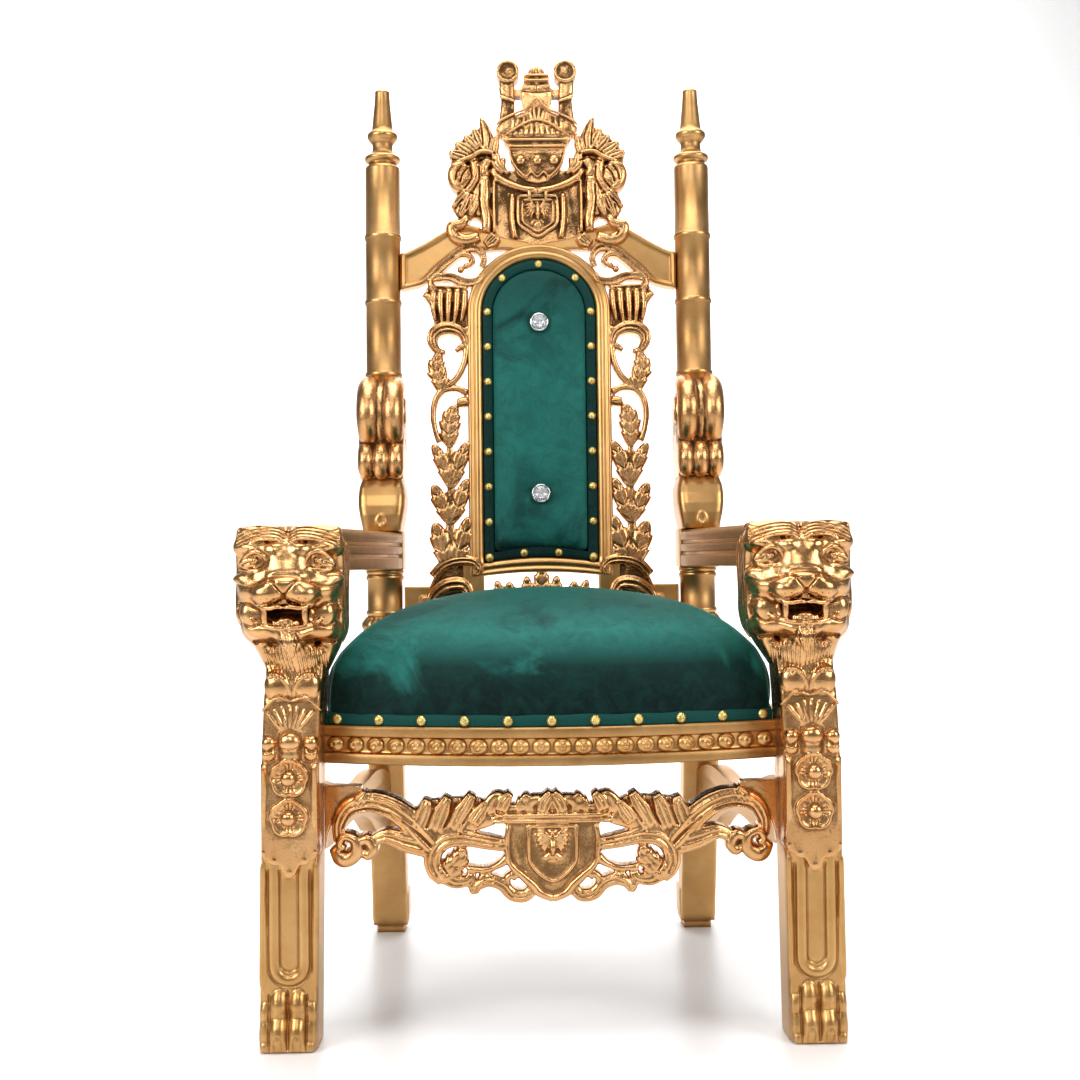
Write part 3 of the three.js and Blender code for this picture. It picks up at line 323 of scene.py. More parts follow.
def leaf(points, width, proud, lobes, board):
    """A carved leaf from base to tip, with a toothed edge, a midrib and a vein to every tooth."""
    front, back = board
    line, t, normal, tangent = along(points, 20, 90, 0.9)
    u = np.linspace(-1, 1, 23)
    outward = np.abs(u)
    rib = 0.35 * np.exp(-((u / 0.16) ** 2))
    dome = arched(u, 6) * (0.42 + 0.34 * np.sin(math.pi * outward) + rib)
    rings = []
    for i in range(len(t)):
        tooth = (t[i] * lobes * 1.02) % 1
        body = max(0.04, math.sin(math.pi * min(1, t[i] * 0.86 + 0.14)) ** 0.65)
        half = width * body * (0.7 + 0.3 * tooth**0.7)
        from_vein = np.abs(((t[i] - 0.1 * outward) * lobes) % 1 - 0.08)
        vein = 1 - np.clip(1 - from_vein / 0.16, 0, 1) * outward**0.5 * 0.75
        rise = proud * min(1, half / 4) * (0.5 + 0.5 * min(1, t[i] * 5))
        forward = np.outer(outward**1.5 * (0.42 * half), tangent[i])
        across = line[i] + np.outer(u * half, normal[i]) + forward
        rings.append(backed(across, front - rise * (dome * vein), back))
    return loft(rings)


# Meshes from shapes


def joined(shapes):
    points, faces, offset = [], [], 0
    for p, f in shapes:
        points.append(p)
        faces.extend(tuple(i + offset for i in face) for face in f)
        offset += len(p)
    return np.vstack(points), faces


def neighbour_mean(values, edges, count):
    total = np.zeros_like(values)
    for k in range(values.shape[1]):
        total[:, k] = np.bincount(edges[:, 0], values[edges[:, 1], k], len(values)) + np.bincount(
            edges[:, 1], values[edges[:, 0], k], len(values)
        )
    return total / count[:, None]


def mesh_arrays(mesh):
    points = np.zeros(len(mesh.vertices) * 3)
    mesh.vertices.foreach_get("co", points)
    edges = np.zeros(len(mesh.edges) * 2, int)
    mesh.edges.foreach_get("vertices", edges)
    points, edges = points.reshape(-1, 3), edges.reshape(-1, 2)
    count = np.maximum(np.bincount(edges.ravel(), minlength=len(points)), 1).astype(float)
    return points, edges, count


def mesh_normals(mesh):
    normals = np.zeros(len(mesh.vertices) * 3)
    mesh.vertices.foreach_get("normal", normals)
    return normals.reshape(-1, 3)


def move_points(mesh, points):
    mesh.vertices.foreach_set("co", points.ravel())
    mesh.update()


def new_object(name, points, faces):
    """A mesh from points in metres, standing in the scene."""
    mesh = bpy.data.meshes.new(name)
    mesh.from_pydata(points, [], faces)
    mesh.update()
    made = bpy.data.objects.new(name, mesh)
    bpy.context.scene.collection.objects.link(made)
    return made


def soften(mesh, rounds):
    """Rounds off the voxel steps without shrinking the form."""
    points, edges, count = mesh_arrays(mesh)
    for _ in range(rounds):
        for weight in (0.6, -0.62):
            points = points + weight * (neighbour_mean(points, edges, count) - points)
    move_points(mesh, points)


def fused(shapes, voxel, rounds):
    """Melts shapes into one smooth body, as modelled before the details go on."""
    points, faces = joined(shapes)
    rough = new_object("rough", (points * MM).tolist(), faces)
    applied(rough, "REMESH", mode="VOXEL", voxel_size=voxel * MM)
    points, edges, count = mesh_arrays(rough.data)
    for _ in range(rounds):
        points = points + 0.6 * (neighbour_mean(points, edges, count) - points)
    faces = [tuple(face.vertices) for face in rough.data.polygons]
    mesh = rough.data
    bpy.data.objects.remove(rough)
    bpy.data.meshes.remove(mesh)
    return points / MM, faces


def ripple(points, size, seed):
    """Smooth random waves from -1 to 1, about `size` millimetres long."""
    table = np.random.default_rng(seed).uniform(-1, 1, (32, 32, 32))
    p = points / MM / size
    base = np.floor(p).astype(int)
    f = p - base
    f = f * f * (3 - 2 * f)
    total = np.zeros(len(points))
    for corner in np.ndindex(2, 2, 2):
        weight = np.prod(np.where(corner, f, 1 - f), axis=1)
        x, y, z = ((base + corner) % 32).T
        total += weight * table[x, y, z]
    return total


def hammer(mesh, depth):
    """Leaves the chisel's and the gesso's unevenness on a carved face."""
    points = mesh_arrays(mesh)[0]
    wave = 0.6 * ripple(points, 13, 7) + 0.5 * ripple(points, 5.5, 8)
    move_points(mesh, points + mesh_normals(mesh) * (wave * depth * MM)[:, None])


def pressed(points, normals, cuts):
    """Presses grooves into what faces the front. A cut is its (x, z) points, half width and depth."""
    facing = np.clip((np.abs(normals[:, 1]) - 0.15) / 0.4, 0, 1) * (normals[:, 1] < 0)
    flat = points[:, [0, 2]]
    shift = np.zeros(len(points))
    for line, width, depth in cuts:
        line = np.array(line, float)
        if len(line) > 2:
            line = curve_through(line, 4 * len(line))
        low, high = line.min(axis=0) - width, line.max(axis=0) + width
        near = np.where(((flat > low) & (flat < high)).all(axis=1) & (facing > 0))[0]
        best = np.full(len(near), 1e9)
        for a, b in zip(line[:-1], line[1:]):
            run = b - a
            share = np.clip((flat[near] - a) @ run / (run @ run + 1e-12), 0, 1)
            best = np.minimum(best, np.linalg.norm(flat[near] - a - share[:, None] * run, axis=1))
        cut = depth * np.clip(1 - (best / width) ** 2, 0, 1) ** 1.5
        shift[near] = np.where(np.abs(cut) > np.abs(shift[near]), cut, shift[near])
    points = points.copy()
    points[:, 1] += shift * facing
    return points


def surface_normals(points, faces):
    """Normals at the points of a closed shape."""
    mesh = bpy.data.meshes.new("rough")
    mesh.from_pydata(points.tolist(), [], faces)
    mesh.update()
    normals = mesh_normals(mesh)
    bpy.data.meshes.remove(mesh)
    return normals


def mark_groove_shade(mesh):
    """Stores how deep each point lies in a groove, so that the gilded finishes can paint shade there in the
    dark size's brown.
    """
    points, edges, count = mesh_arrays(mesh)
    normals = mesh_normals(mesh)
    smooth = points
    for i in range(14):
        smooth = smooth + 0.7 * (neighbour_mean(smooth, edges, count) - smooth)
        if i == 3:
            narrow = smooth
    wide = ((smooth - points) * normals).sum(axis=1) / MM
    fine = ((narrow - points) * normals).sum(axis=1) / MM
    depth = np.clip(0.5 + 0.55 * wide + 0.9 * fine, 0, 1)
    attribute = mesh.attributes.new("recess", "FLOAT", "POINT")
    attribute.data.foreach_set("value", depth.astype(np.float32))


def applied(piece, kind, **settings):
    """Runs one modifier on a piece and keeps its result."""
    modifier = piece.modifiers.new(kind.title(), kind)
    for key, value in settings.items():
        setattr(modifier, key, value)
    ready = piece.evaluated_get(bpy.context.evaluated_depsgraph_get())
    mesh = bpy.data.meshes.new_from_object(ready)
    old = piece.data
    piece.modifiers.clear()
    piece.data = mesh
    bpy.data.meshes.remove(old)
    return piece


def make_piece(name, shapes, nodes, slot, finish, voxel=None, most=None, rounds=2, matrix=None, recess=True,
               flat=False, uneven=0, cuts=()):
    """Joins shapes into one piece of the throne. With a voxel size they grow together as one carving."""
    points, faces = joined(shapes)
    piece = new_object(name, (points * MM).tolist(), faces)
    if voxel:
        applied(piece, "REMESH", mode="VOXEL", voxel_size=voxel * MM * 1)
        soften(piece.data, rounds)
        if cuts:
            points = mesh_arrays(piece.data)[0] / MM
            move_points(piece.data, pressed(points, mesh_normals(piece.data), cuts) * MM)
        triangles = 2 * len(piece.data.polygons)
        if most and triangles > most:
            applied(piece, "DECIMATE", ratio=most / triangles)
    if matrix is not None:
        piece.data.transform(matrix)
        piece.data.update()
    if uneven:
        hammer(piece.data, uneven)
    if recess:
        mark_groove_shade(piece.data)
    piece.data.polygons.foreach_set("use_smooth", np.full(len(piece.data.polygons), not flat))
    piece.data.materials.append(finish)
    settle(piece, nodes, slot)
    return piece


def settle(piece, nodes, slot):
    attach(piece, "root")
    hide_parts(*nodes)
    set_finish(piece, slot)
    return piece


def mirror_piece(piece, name, nodes, slot):
    """The same piece on the other side of the throne."""
    mesh = piece.data.copy()
    mesh.transform(Matrix.Scale(-1, 4, Vector((1, 0, 0))))
    mesh.flip_normals()
    twin = bpy.data.objects.new(name, mesh)
    bpy.context.scene.collection.objects.link(twin)
    return settle(twin, nodes, slot)


def crisp(piece, width, segments=2, angle=32):
    """Breaks the sharp edges of a joiner-made piece."""
    applied(piece, "BEVEL", width=width * MM, segments=segments, limit_method="ANGLE",
            angle_limit=math.radians(angle))
    return piece


BACK_MATRIX = Matrix.Translation(Vector(BACK_ORIGIN) * MM) @ Matrix.Rotation(-BACK_RAKE, 4, "X")


# Finishes


class ThroneGilding(bpy.types.PropertyGroup):
    leaf: bpy.props.FloatVectorProperty(
        name="Leaf", description="Colour of the bright gold leaf", subtype="COLOR", size=3,
        default=(0.68, 0.385, 0.17)
    )
    paint: bpy.props.FloatVectorProperty(
        name="Paint", description="Colour of the satin gold paint", subtype="COLOR", size=3,
        default=(0.58, 0.34, 0.135)
    )
    # Brown of the dark size where the leaf is worn, and also the painted shade in every gilded finish's
    # grooves.
    size_and_shade_brown: bpy.props.FloatVectorProperty(
        name="Size", description="Dark brown left in the recesses", subtype="COLOR", size=3,
        default=(0.06, 0.028, 0.009)
    )
    # Sets how much worn size shows and how deep the painted shade in the grooves is.
    wear_and_shade: bpy.props.FloatProperty(
        name="Age", description="How much dark brown shows", default=1, min=0, max=2, subtype="FACTOR"
    )


class ThroneVelvet(bpy.types.PropertyGroup):
    # The velvet's colour where its painted light is brightest.
    colour: bpy.props.FloatVectorProperty(
        name="Velvet", description="Colour of the velvet", subtype="COLOR", size=3,
        default=(0.017, 0.165, 0.137)
    )
    # Painted shade: the velvet's colour in its darkest bands, where the painted light falls away.
    shade: bpy.props.FloatVectorProperty(
        name="Shade", description="Velvet brushed the other way", subtype="COLOR", size=3,
        default=(0.0004, 0.0075, 0.0072)
    )
    fill: bpy.props.FloatProperty(
        name="Fill", description="How tightly the cushions are stuffed", default=0.95, min=0, max=1,
        subtype="FACTOR"
    )


class ThroneCarving(bpy.types.PropertyGroup):
    voxel: bpy.props.FloatProperty(
        name="Chisel", description="Finest cut of the carving", default=1.15 * MM, unit="LENGTH",
        min=0.0005, max=0.01
    )
    most: bpy.props.IntProperty(
        name="Facets", description="Most facets in one carved piece", default=118000, min=1000, max=190000
    )


class ThroneTrim(bpy.types.PropertyGroup):
    nail: bpy.props.FloatProperty(
        name="Nail", description="Diameter of an upholstery nail", default=12.4 * MM, unit="LENGTH",
        min=0.004, max=0.03
    )
    button: bpy.props.FloatProperty(
        name="Button", description="Diameter of a crystal button", default=27 * MM, unit="LENGTH", min=0.01,
        max=0.05
    )


class ThroneStage(bpy.types.PropertyGroup):
    focal: bpy.props.FloatProperty(
        name="Focal length", description="Focal length of the camera in millimetres", default=46.2, min=10,
        max=200
    )
    floor: bpy.props.FloatVectorProperty(
        name="Floor", description="Colour of the floor", subtype="COLOR", size=3, default=(0.9, 0.9, 0.9)
    )


def node_tree(name):
    finish = bpy.data.materials.new(name)
    finish.use_nodes = True
    tree = finish.node_tree
    shader = tree.nodes["Principled BSDF"]
    return finish, tree, shader


def set_sockets(node, values):
    """Gives a node's own sockets their values, by name."""
    for name, value in values.items():
        node.inputs[name].default_value = value


def noise(tree, scale, detail=3, roughness=0.55, distortion=0):
    """Noise in the throne's own metres, scale in turns a metre."""
    if "Texture Coordinate" not in tree.nodes:
        tree.nodes.new("ShaderNodeTexCoord")
    node = tree.nodes.new("ShaderNodeTexNoise")
    set_sockets(node, {"Scale": scale, "Detail": detail, "Roughness": roughness, "Distortion": distortion})
    tree.links.new(tree.nodes["Texture Coordinate"].outputs["Object"], node.inputs["Vector"])
    return node.outputs["Fac"]


def ramp(tree, value, stops):
    """A colour ramp over a value; stops are (place, grey or colour)."""
    node = tree.nodes.new("ShaderNodeValToRGB")
    ramp_stops = node.color_ramp.elements
    while len(ramp_stops) < len(stops):
        ramp_stops.new(0.5)
    for stop, (place, colour) in zip(ramp_stops, stops):
        stop.position = place
        colour = (colour,) * 3 if isinstance(colour, (int, float)) else tuple(colour)
        stop.color = (*colour, 1)
    tree.links.new(value, node.inputs["Fac"])
    return node.outputs["Color"]


def blend(tree, share, a, b):
    """Mixes two colours by a share."""
    node = tree.nodes.new("ShaderNodeMix")
    node.data_type = "RGBA"
    for socket, value in ((node.inputs["Factor"], share), (node.inputs["A"], a), (node.inputs["B"], b)):
        if isinstance(value, bpy.types.NodeSocket):
            tree.links.new(value, socket)
        elif socket.type == "RGBA":
            socket.default_value = (*value, 1)
        else:
            socket.default_value = value
    return [o for o in node.outputs if o.type == "RGBA"][0]


def sum_of(tree, operation, a, b):
    node = tree.nodes.new("ShaderNodeMath")
    node.operation = operation
    node.use_clamp = operation in ("ADD", "MULTIPLY")
    for socket, value in zip(node.inputs, (a, b)):
        if isinstance(value, bpy.types.NodeSocket):
            tree.links.new(value, socket)
        else:
            socket.default_value = value
    return node.outputs[0]


def bump(tree, shader, height, strength, distance):
    node = tree.nodes.new("ShaderNodeBump")
    set_sockets(node, {"Strength": strength, "Distance": distance * MM})
    tree.links.new(height, node.inputs["Height"])
    previous = shader.inputs["Normal"].links
    if previous:
        tree.links.new(previous[0].from_socket, node.inputs["Normal"])
    tree.links.new(node.outputs["Normal"], shader.inputs["Normal"])


def gilded(name, colour, brown, wear_and_shade, rough, crinkle):
    """Gold over dark size: the recess attribute darkens the grooves as painted shade, speckled and patchy
    wear shows the dark size, and the bump crinkles the leaf.
    """
    finish, tree, shader = node_tree(name)
    groove = tree.nodes.new("ShaderNodeAttribute")
    groove.attribute_name = "recess"
    speckle = noise(tree, 520, 4, 0.7)
    cloud = noise(tree, 26, 3)
    worn = sum_of(tree, "MULTIPLY", ramp(tree, speckle, [(0.45, 0), (0.64, 1)]), min(0.5, 0.24 * wear_and_shade))
    patch = sum_of(tree, "MULTIPLY", ramp(tree, noise(tree, 60, 3), [(0.42, 0), (0.66, 1)]),
                   min(0.4, 0.2 * wear_and_shade))
    # Painted shade: the deeper a point lies in a groove, the more its gold turns to the brown.
    hollow = sum_of(tree, "MULTIPLY", groove.outputs["Fac"], 0.88)
    # The painted groove shade joins the real speckled and patchy wear in one mask.
    wear_and_groove_shade = sum_of(tree, "ADD", hollow, sum_of(tree, "ADD", worn, patch))
    share = ramp(tree, wear_and_groove_shade, [(0.62, 0), (0.84, 0.5 * min(1, wear_and_shade)), (1, 0.9 * min(1, wear_and_shade))])
    pale = [c * k for c, k in zip(colour, (0.86, 0.8, 0.72))]
    warm = blend(tree, ramp(tree, cloud, [(0.38, 0), (0.66, 1)]), pale, colour)
    tint = blend(tree, share, warm, brown)
    tree.links.new(tint, shader.inputs["Base Color"])
    shader.inputs["Metallic"].default_value = 1
    blurred = sum_of(tree, "ADD", sum_of(tree, "MULTIPLY", cloud, 0.5), share)
    tree.links.new(ramp(tree, blurred, [(0.1, rough), (1, rough + 0.34)]), shader.inputs["Roughness"])
    for scale, strength, distance in crinkle:
        bump(tree, shader, noise(tree, scale, 4, 0.62, 0.6), strength, distance)
    return finish


def velvet_finish(name, light, shade, low, high, stops):
    """Velvet with painted light and painted shade in bands between two heights in metres, the bands' edges
    ragged with soft clouds.
    """
    finish, tree, shader = node_tree(name)
    cloud = noise(tree, 8, 5, 0.62, 0.7)
    place = tree.nodes.new("ShaderNodeSeparateXYZ")
    tree.links.new(tree.nodes["Texture Coordinate"].outputs["Object"], place.inputs[0])
    height = tree.nodes.new("ShaderNodeMapRange")
    set_sockets(height, {"From Min": low, "From Max": high})
    tree.links.new(place.outputs["Z"], height.inputs["Value"])
    drift = sum_of(tree, "MULTIPLY", sum_of(tree, "SUBTRACT", cloud, 0.5), 1.7)
    # Painted light and shade: the height, warped by the clouds, sets through the stops how light or dark
    # each band of velvet is.
    painted_light_share = ramp(tree, sum_of(tree, "ADD", height.outputs["Result"], drift), stops)
    lit_and_shaded = blend(tree, painted_light_share, shade, light)
    crush = ramp(tree, noise(tree, 34, 6, 0.72, 1.4), [(0.42, 0), (0.74, 1)])
    crushed = blend(tree, sum_of(tree, "MULTIPLY", crush, 0.55), lit_and_shaded, [c * 0.3 for c in light])
    pile = noise(tree, 1500, 2, 0.7)
    fibre = blend(tree, sum_of(tree, "MULTIPLY", pile, 0.4), crushed, shade)
    tree.links.new(fibre, shader.inputs["Base Color"])
    set_sockets(shader, {"Roughness": 0.55, "Sheen Weight": 0.3, "Sheen Roughness": 0.4,
                         "Sheen Tint": (0.08, 0.6, 0.5, 1), "Specular IOR Level": 0.1})
    bump(tree, shader, crush, 0.35, 2)
    bump(tree, shader, pile, 0.35, 0.25)
    return finish


def brass_finish():
    finish, tree, shader = node_tree("Nail brass")
    wear = noise(tree, 260, 3)
    tree.links.new(ramp(tree, wear, [(0.3, (0.36, 0.26, 0.07)), (0.7, (0.72, 0.58, 0.22))]),
                   shader.inputs["Base Color"])
    shader.inputs["Metallic"].default_value = 1
    tree.links.new(ramp(tree, wear, [(0.3, 0.42), (0.8, 0.26)]), shader.inputs["Roughness"])
    bump(tree, shader, noise(tree, 1100, 2), 0.2, 0.15)
    return finish


def crystal_finish():
    finish, tree, shader = node_tree("Cut crystal")
    cloud = noise(tree, 200, 2)
    tree.links.new(ramp(tree, cloud, [(0.3, (0.86, 0.9, 0.93)), (0.8, (1, 1, 1))]),
                   shader.inputs["Base Color"])
    set_sockets(shader, {"Roughness": 0.03, "Transmission Weight": 0.75, "IOR": 1.65})
    bump(tree, shader, noise(tree, 300, 2), 0.05, 0.1)
    return finish


def silver_finish():
    finish, tree, shader = node_tree("Silver rim")
    cloud = noise(tree, 500, 3)
    tree.links.new(ramp(tree, cloud, [(0.3, 0.5), (0.8, 0.85)]), shader.inputs["Base Color"])
    shader.inputs["Metallic"].default_value = 1
    tree.links.new(ramp(tree, cloud, [(0.3, 0.22), (0.8, 0.12)]), shader.inputs["Roughness"])
    return finish


def dust_finish():
    finish, tree, shader = node_tree("Dust cloth")
    weave = noise(tree, 1400, 2)
    tree.links.new(ramp(tree, weave, [(0.3, 0.006), (0.8, 0.03)]), shader.inputs["Base Color"])
    shader.inputs["Roughness"].default_value = 0.95
    bump(tree, shader, weave, 0.5, 0.3)
    return finish


def gold_leaf():
    found = bpy.data.materials.get("Gold leaf")
    tones = bpy.context.scene.throne_gilding
    return found or gilded(
        "Gold leaf", list(tones.leaf), list(tones.size_and_shade_brown), tones.wear_and_shade * 0.8, 0.18,
        [(70, 0.16, 1.3), (300, 0.24, 0.6), (900, 0.22, 0.3)]
    )


def aged_and_shaded_leaf():
    """The leaf on the back's openwork and the crest, with far more dark size showing and darker painted
    shade in its grooves.
    """
    found = bpy.data.materials.get("Aged and shaded leaf")
    tones = bpy.context.scene.throne_gilding
    brown = [c * 0.55 for c in tones.size_and_shade_brown]
    return found or gilded("Aged and shaded leaf", list(tones.leaf), brown, tones.wear_and_shade * 1.7, 0.2,
                           [(110, 0.25, 1.2), (320, 0.4, 0.7), (900, 0.35, 0.35)])


def satin_gold():
    found = bpy.data.materials.get("Satin gold")
    tones = bpy.context.scene.throne_gilding
    return found or gilded(
        "Satin gold", list(tones.paint), list(tones.size_and_shade_brown), tones.wear_and_shade * 0.35, 0.29,
        [(40, 0.1, 1), (1300, 0.16, 0.14)]
    )


def painted(name, shapes, nodes, **settings):
    """A piece in the satin gold paint."""
    return make_piece(name, shapes, nodes, "satin_gold", satin_gold(), **settings)


# Painted light and shade on each velvet: the heights in metres that it spans, and its painted light from
# foot to top

VELVET_LIGHT_BANDS = {
    "Seat velvet": (0.355, 0.505, [(0.22, 0), (0.44, 0.08), (0.57, 0.6), (0.7, 1), (0.86, 0.55),
        (0.98, 0.3)]),
    "Back velvet": (0.53, 0.98, [(0.04, 0), (0.18, 0.3), (0.34, 0.75), (0.62, 1), (0.84, 0.5), (1, 0.12)]),
    "Band velvet": (0.2, 1, [(0, 0.3), (1, 0.4)]),
    "Flange velvet": (0.53, 0.98, [(0, 0.03), (0.5, 0.1), (1, 0.22)]),
}


def velvet(name="Seat velvet"):
    """The emerald velvet of one cushion."""
    tones = bpy.context.scene.throne_velvet
    low, high, stops = VELVET_LIGHT_BANDS[name]
    return velvet_finish(name, list(tones.colour), list(tones.shade), low, high, stops)


def brass():
    return bpy.data.materials.get("Nail brass") or brass_finish()


# Leg and lion


def leg_x(z):
    """Where the leg's middle stands at a height."""
    return np.interp(z, [0, RAIL_TOP_Z, HEAD_BASE_Z, 500],
                     [FOOT_HALF_SPAN, RAIL_HALF_SPAN, RAIL_HALF_SPAN - 4, HEAD_X])


def leg_face(z):
    """The leg's front face at a height."""
    return LEG_FRONT_Y + np.interp(z, [0, 190, 215, 330, 385, 420], [4, 4, 0, -4, -2, 5])


def rounded_ring(x, z, half, front, back, squareness, count=36):
    angles = np.linspace(0, 2 * math.pi, count, endpoint=False)
    c, s = np.cos(angles), np.sin(angles)
    middle, depth = (front + back) / 2, (back - front) / 2
    return [
        (x + half * math.copysign(abs(a) ** squareness, a),
         middle + depth * math.copysign(abs(b) ** squareness, b), z)
        for a, b in zip(c, s)
    ]


def paw():
    """A lion's foot: two broad toes between two narrow ones, each with a knuckle."""
    shapes = []
    for dx, half, reach, top in ((-25.5, 7, 7, 58), (-10.4, 10.2, 15, 70), (10.4, 10.2, 15, 70),
            (25.5, 7, 7, 58)):
        def at(out, z, dx=dx, half=half):
            return (leg_x(z) + dx, leg_face(z) - out + half, z)

        shapes.append(tube([at(0, top), at(reach * 0.5, top * 0.8), at(reach * 0.55, 36),
                            at(reach * 0.9, 22), at(reach - 1, 6)],
                            [half * 0.8, half, half * 0.88, half, half * 0.95], 14))
        shapes.append(ball(at(reach * 0.45, 5), (half, half + 3, 5)))
        shapes.append(ball(at(reach * 0.6, top * 0.72), (half, half, 12)))
        shapes.append(ball(at(reach * 0.75, 29), (half * 0.96, half, 6)))
    x = leg_x(8)
    shapes.append(slab([(x - 30, 0.6), (x + 30, 0.6), (x + 30, 10), (x - 30, 10)], LEG_FRONT_Y - 4,
                       LEG_BACK_Y))
    return shapes


def paw_cuts():
    """The clefts between the toes and the line round each claw."""
    x = float(leg_x(20))
    cuts = [([(x, 4), (x, 30), (x + 0.5, 66)], 2, 3.4)]
    for side in (-1, 1):
        cuts.append(([(x + side * 20.6, 3), (x + side * 20.8, 62)], 1.8, 3))
        cuts.append(([(x + side * 10, 41), (x + side * 14, 38), (x + side * 6, 38)], 1.6, 0.8))
        claw = [(x + side * 6.4, 3), (x + side * 6.2, 14), (x + side * 10.4, 20), (x + side * 14.6, 14),
                (x + side * 14.4, 3)]
        cuts.append((claw, 1.3, 1.5))
    return cuts


def leg_panel():
    """The long channel down the leg: a round U moulding about a sunk field."""
    x = float(leg_x(130))
    face = LEG_FRONT_Y + 4
    board = (face + 0.5, face + 12)
    shapes = []
    for half, width, proud, foot in ((16.6, 6.3, 4.2, 95), (10.4, 1.5, 4.4, 98)):
        line = [(x - half, 216), (x - half, 150), (x - half, foot + 2)]
        line += [(x + half * math.cos(a), foot + half * math.sin(a) * 1.05)
                 for a in np.linspace(math.pi * 1.12, math.pi * 1.88, 7)]
        line += [(x + half, foot + 2), (x + half, 150), (x + half, 216)]
        shapes.append(stroke(line, [width] * 3, proud, "round", board, taper=False))
    for side in (-1, 1):
        shapes.append(tube([(leg_x(z) + side * 29.4, leg_face(z) + 1.4, z) for z in (66, 140, 212)],
                           [3.4] * 3, 12))
    return shapes


def panel_cuts():
    """The sharp edges of the U moulding."""
    x = float(leg_x(130))
    cuts = []
    for half, foot in ((23.4, 95), (9.6, 98)):
        turn = [(x + half * math.cos(a), foot + half * math.sin(a))
                for a in np.linspace(math.pi, 2 * math.pi, 13)]
        cuts.append(([(x - half, 200), *turn, (x + half, 200)], 1.7, 2.2))
    return cuts


TONGUE_EDGE = [(-31, 318), (-31, 232), (-31, 220), (-28.5, 213.5), (-24, 212.5), (-20.5, 208), (-16, 206.5),
               (-11.5, 207), (-8.5, 202), (-5.5, 195), (0, 192)]


def leg_tongue():
    """The plate that carries the rosettes, ending in a scalloped tongue."""
    x = float(leg_x(255))
    outline = [(x + a, z) for a, z in TONGUE_EDGE] + [(x - a, z) for a, z in reversed(TONGUE_EDGE[:-1])]
    shapes = [slab(outline, leg_face(260) - 2.4, leg_face(260) + 12)]
    rim = [(x + a * 0.95, leg_face(z) - 2, z + 1.2) for a, z in TONGUE_EDGE[2:]]
    rim += [(2 * x - px, py, pz) for px, py, pz in reversed(rim[:-1])]
    shapes.append(tube(rim, [1.3] * 3, 8))
    for a, bottom, top in ((-16.5, 213, 238), (0, 200, 234), (16.5, 213, 238)):
        line = [(x + a * 1.12, leg_face(240) - 1.8, top),
                (x + a * 1.02, leg_face(220) - 2.6, (top + bottom) / 2),
                (x + a, leg_face(210) - 2.8, bottom)]
        shapes.append(tube(line, [0.6, 1.2, 1.8], 8))
        shapes.append(ball((x + a, leg_face(210) - 3.4, bottom - 1), (2.4, 2.4, 2.6)))
    for side in (-1, 1):
        shapes.append(ball((x + side * 28.4, leg_face(222) - 2.4, 221), (1.8, 2, 3)))
        shapes.append(tube([(x + side * 27.5, leg_face(z) - 1.6, z) for z in (246, 280, 318)], [1.8] * 3,
                           8))
    return shapes


def rosette(x, y, z, radius):
    """A five-lobed cup with a turned-up rim and a ball in its middle."""
    angles = np.linspace(0, 2 * math.pi, 72, endpoint=False)
    reach = radius * (0.9 + 0.12 * np.abs(np.cos(2.5 * (angles - math.pi / 2))) ** 0.7)
    rings = []
    for share, height in ((1, -6), (1, 1.5), (0.985, 3.6), (0.93, 5.2), (0.86, 5), (0.76, 3.4), (0.6, 2.4),
                          (0.4, 2.2), (0.05, 2.2)):
        rings.append([(x + r * share * math.cos(a), y - height, z + r * share * math.sin(a))
                      for a, r in zip(angles, reach)])
    return [loft(rings), ball((x, y - 5, z), (8.8, 8.2, 8.8))]


def rosette_cuts(x, z):
    """Three short nicks on each side of the ball."""
    cuts = []
    for turn in range(4):
        for lean in (-0.3, 0, 0.3):
            a = turn * math.pi / 2 + lean + math.pi / 2
            far = 15.5 if lean == 0 else 13.6
            cuts.append(([(x + 9.6 * math.cos(a), z + 9.6 * math.sin(a)),
                          (x + far * math.cos(a), z + far * math.sin(a))], 1.3, 1.6))
    return cuts


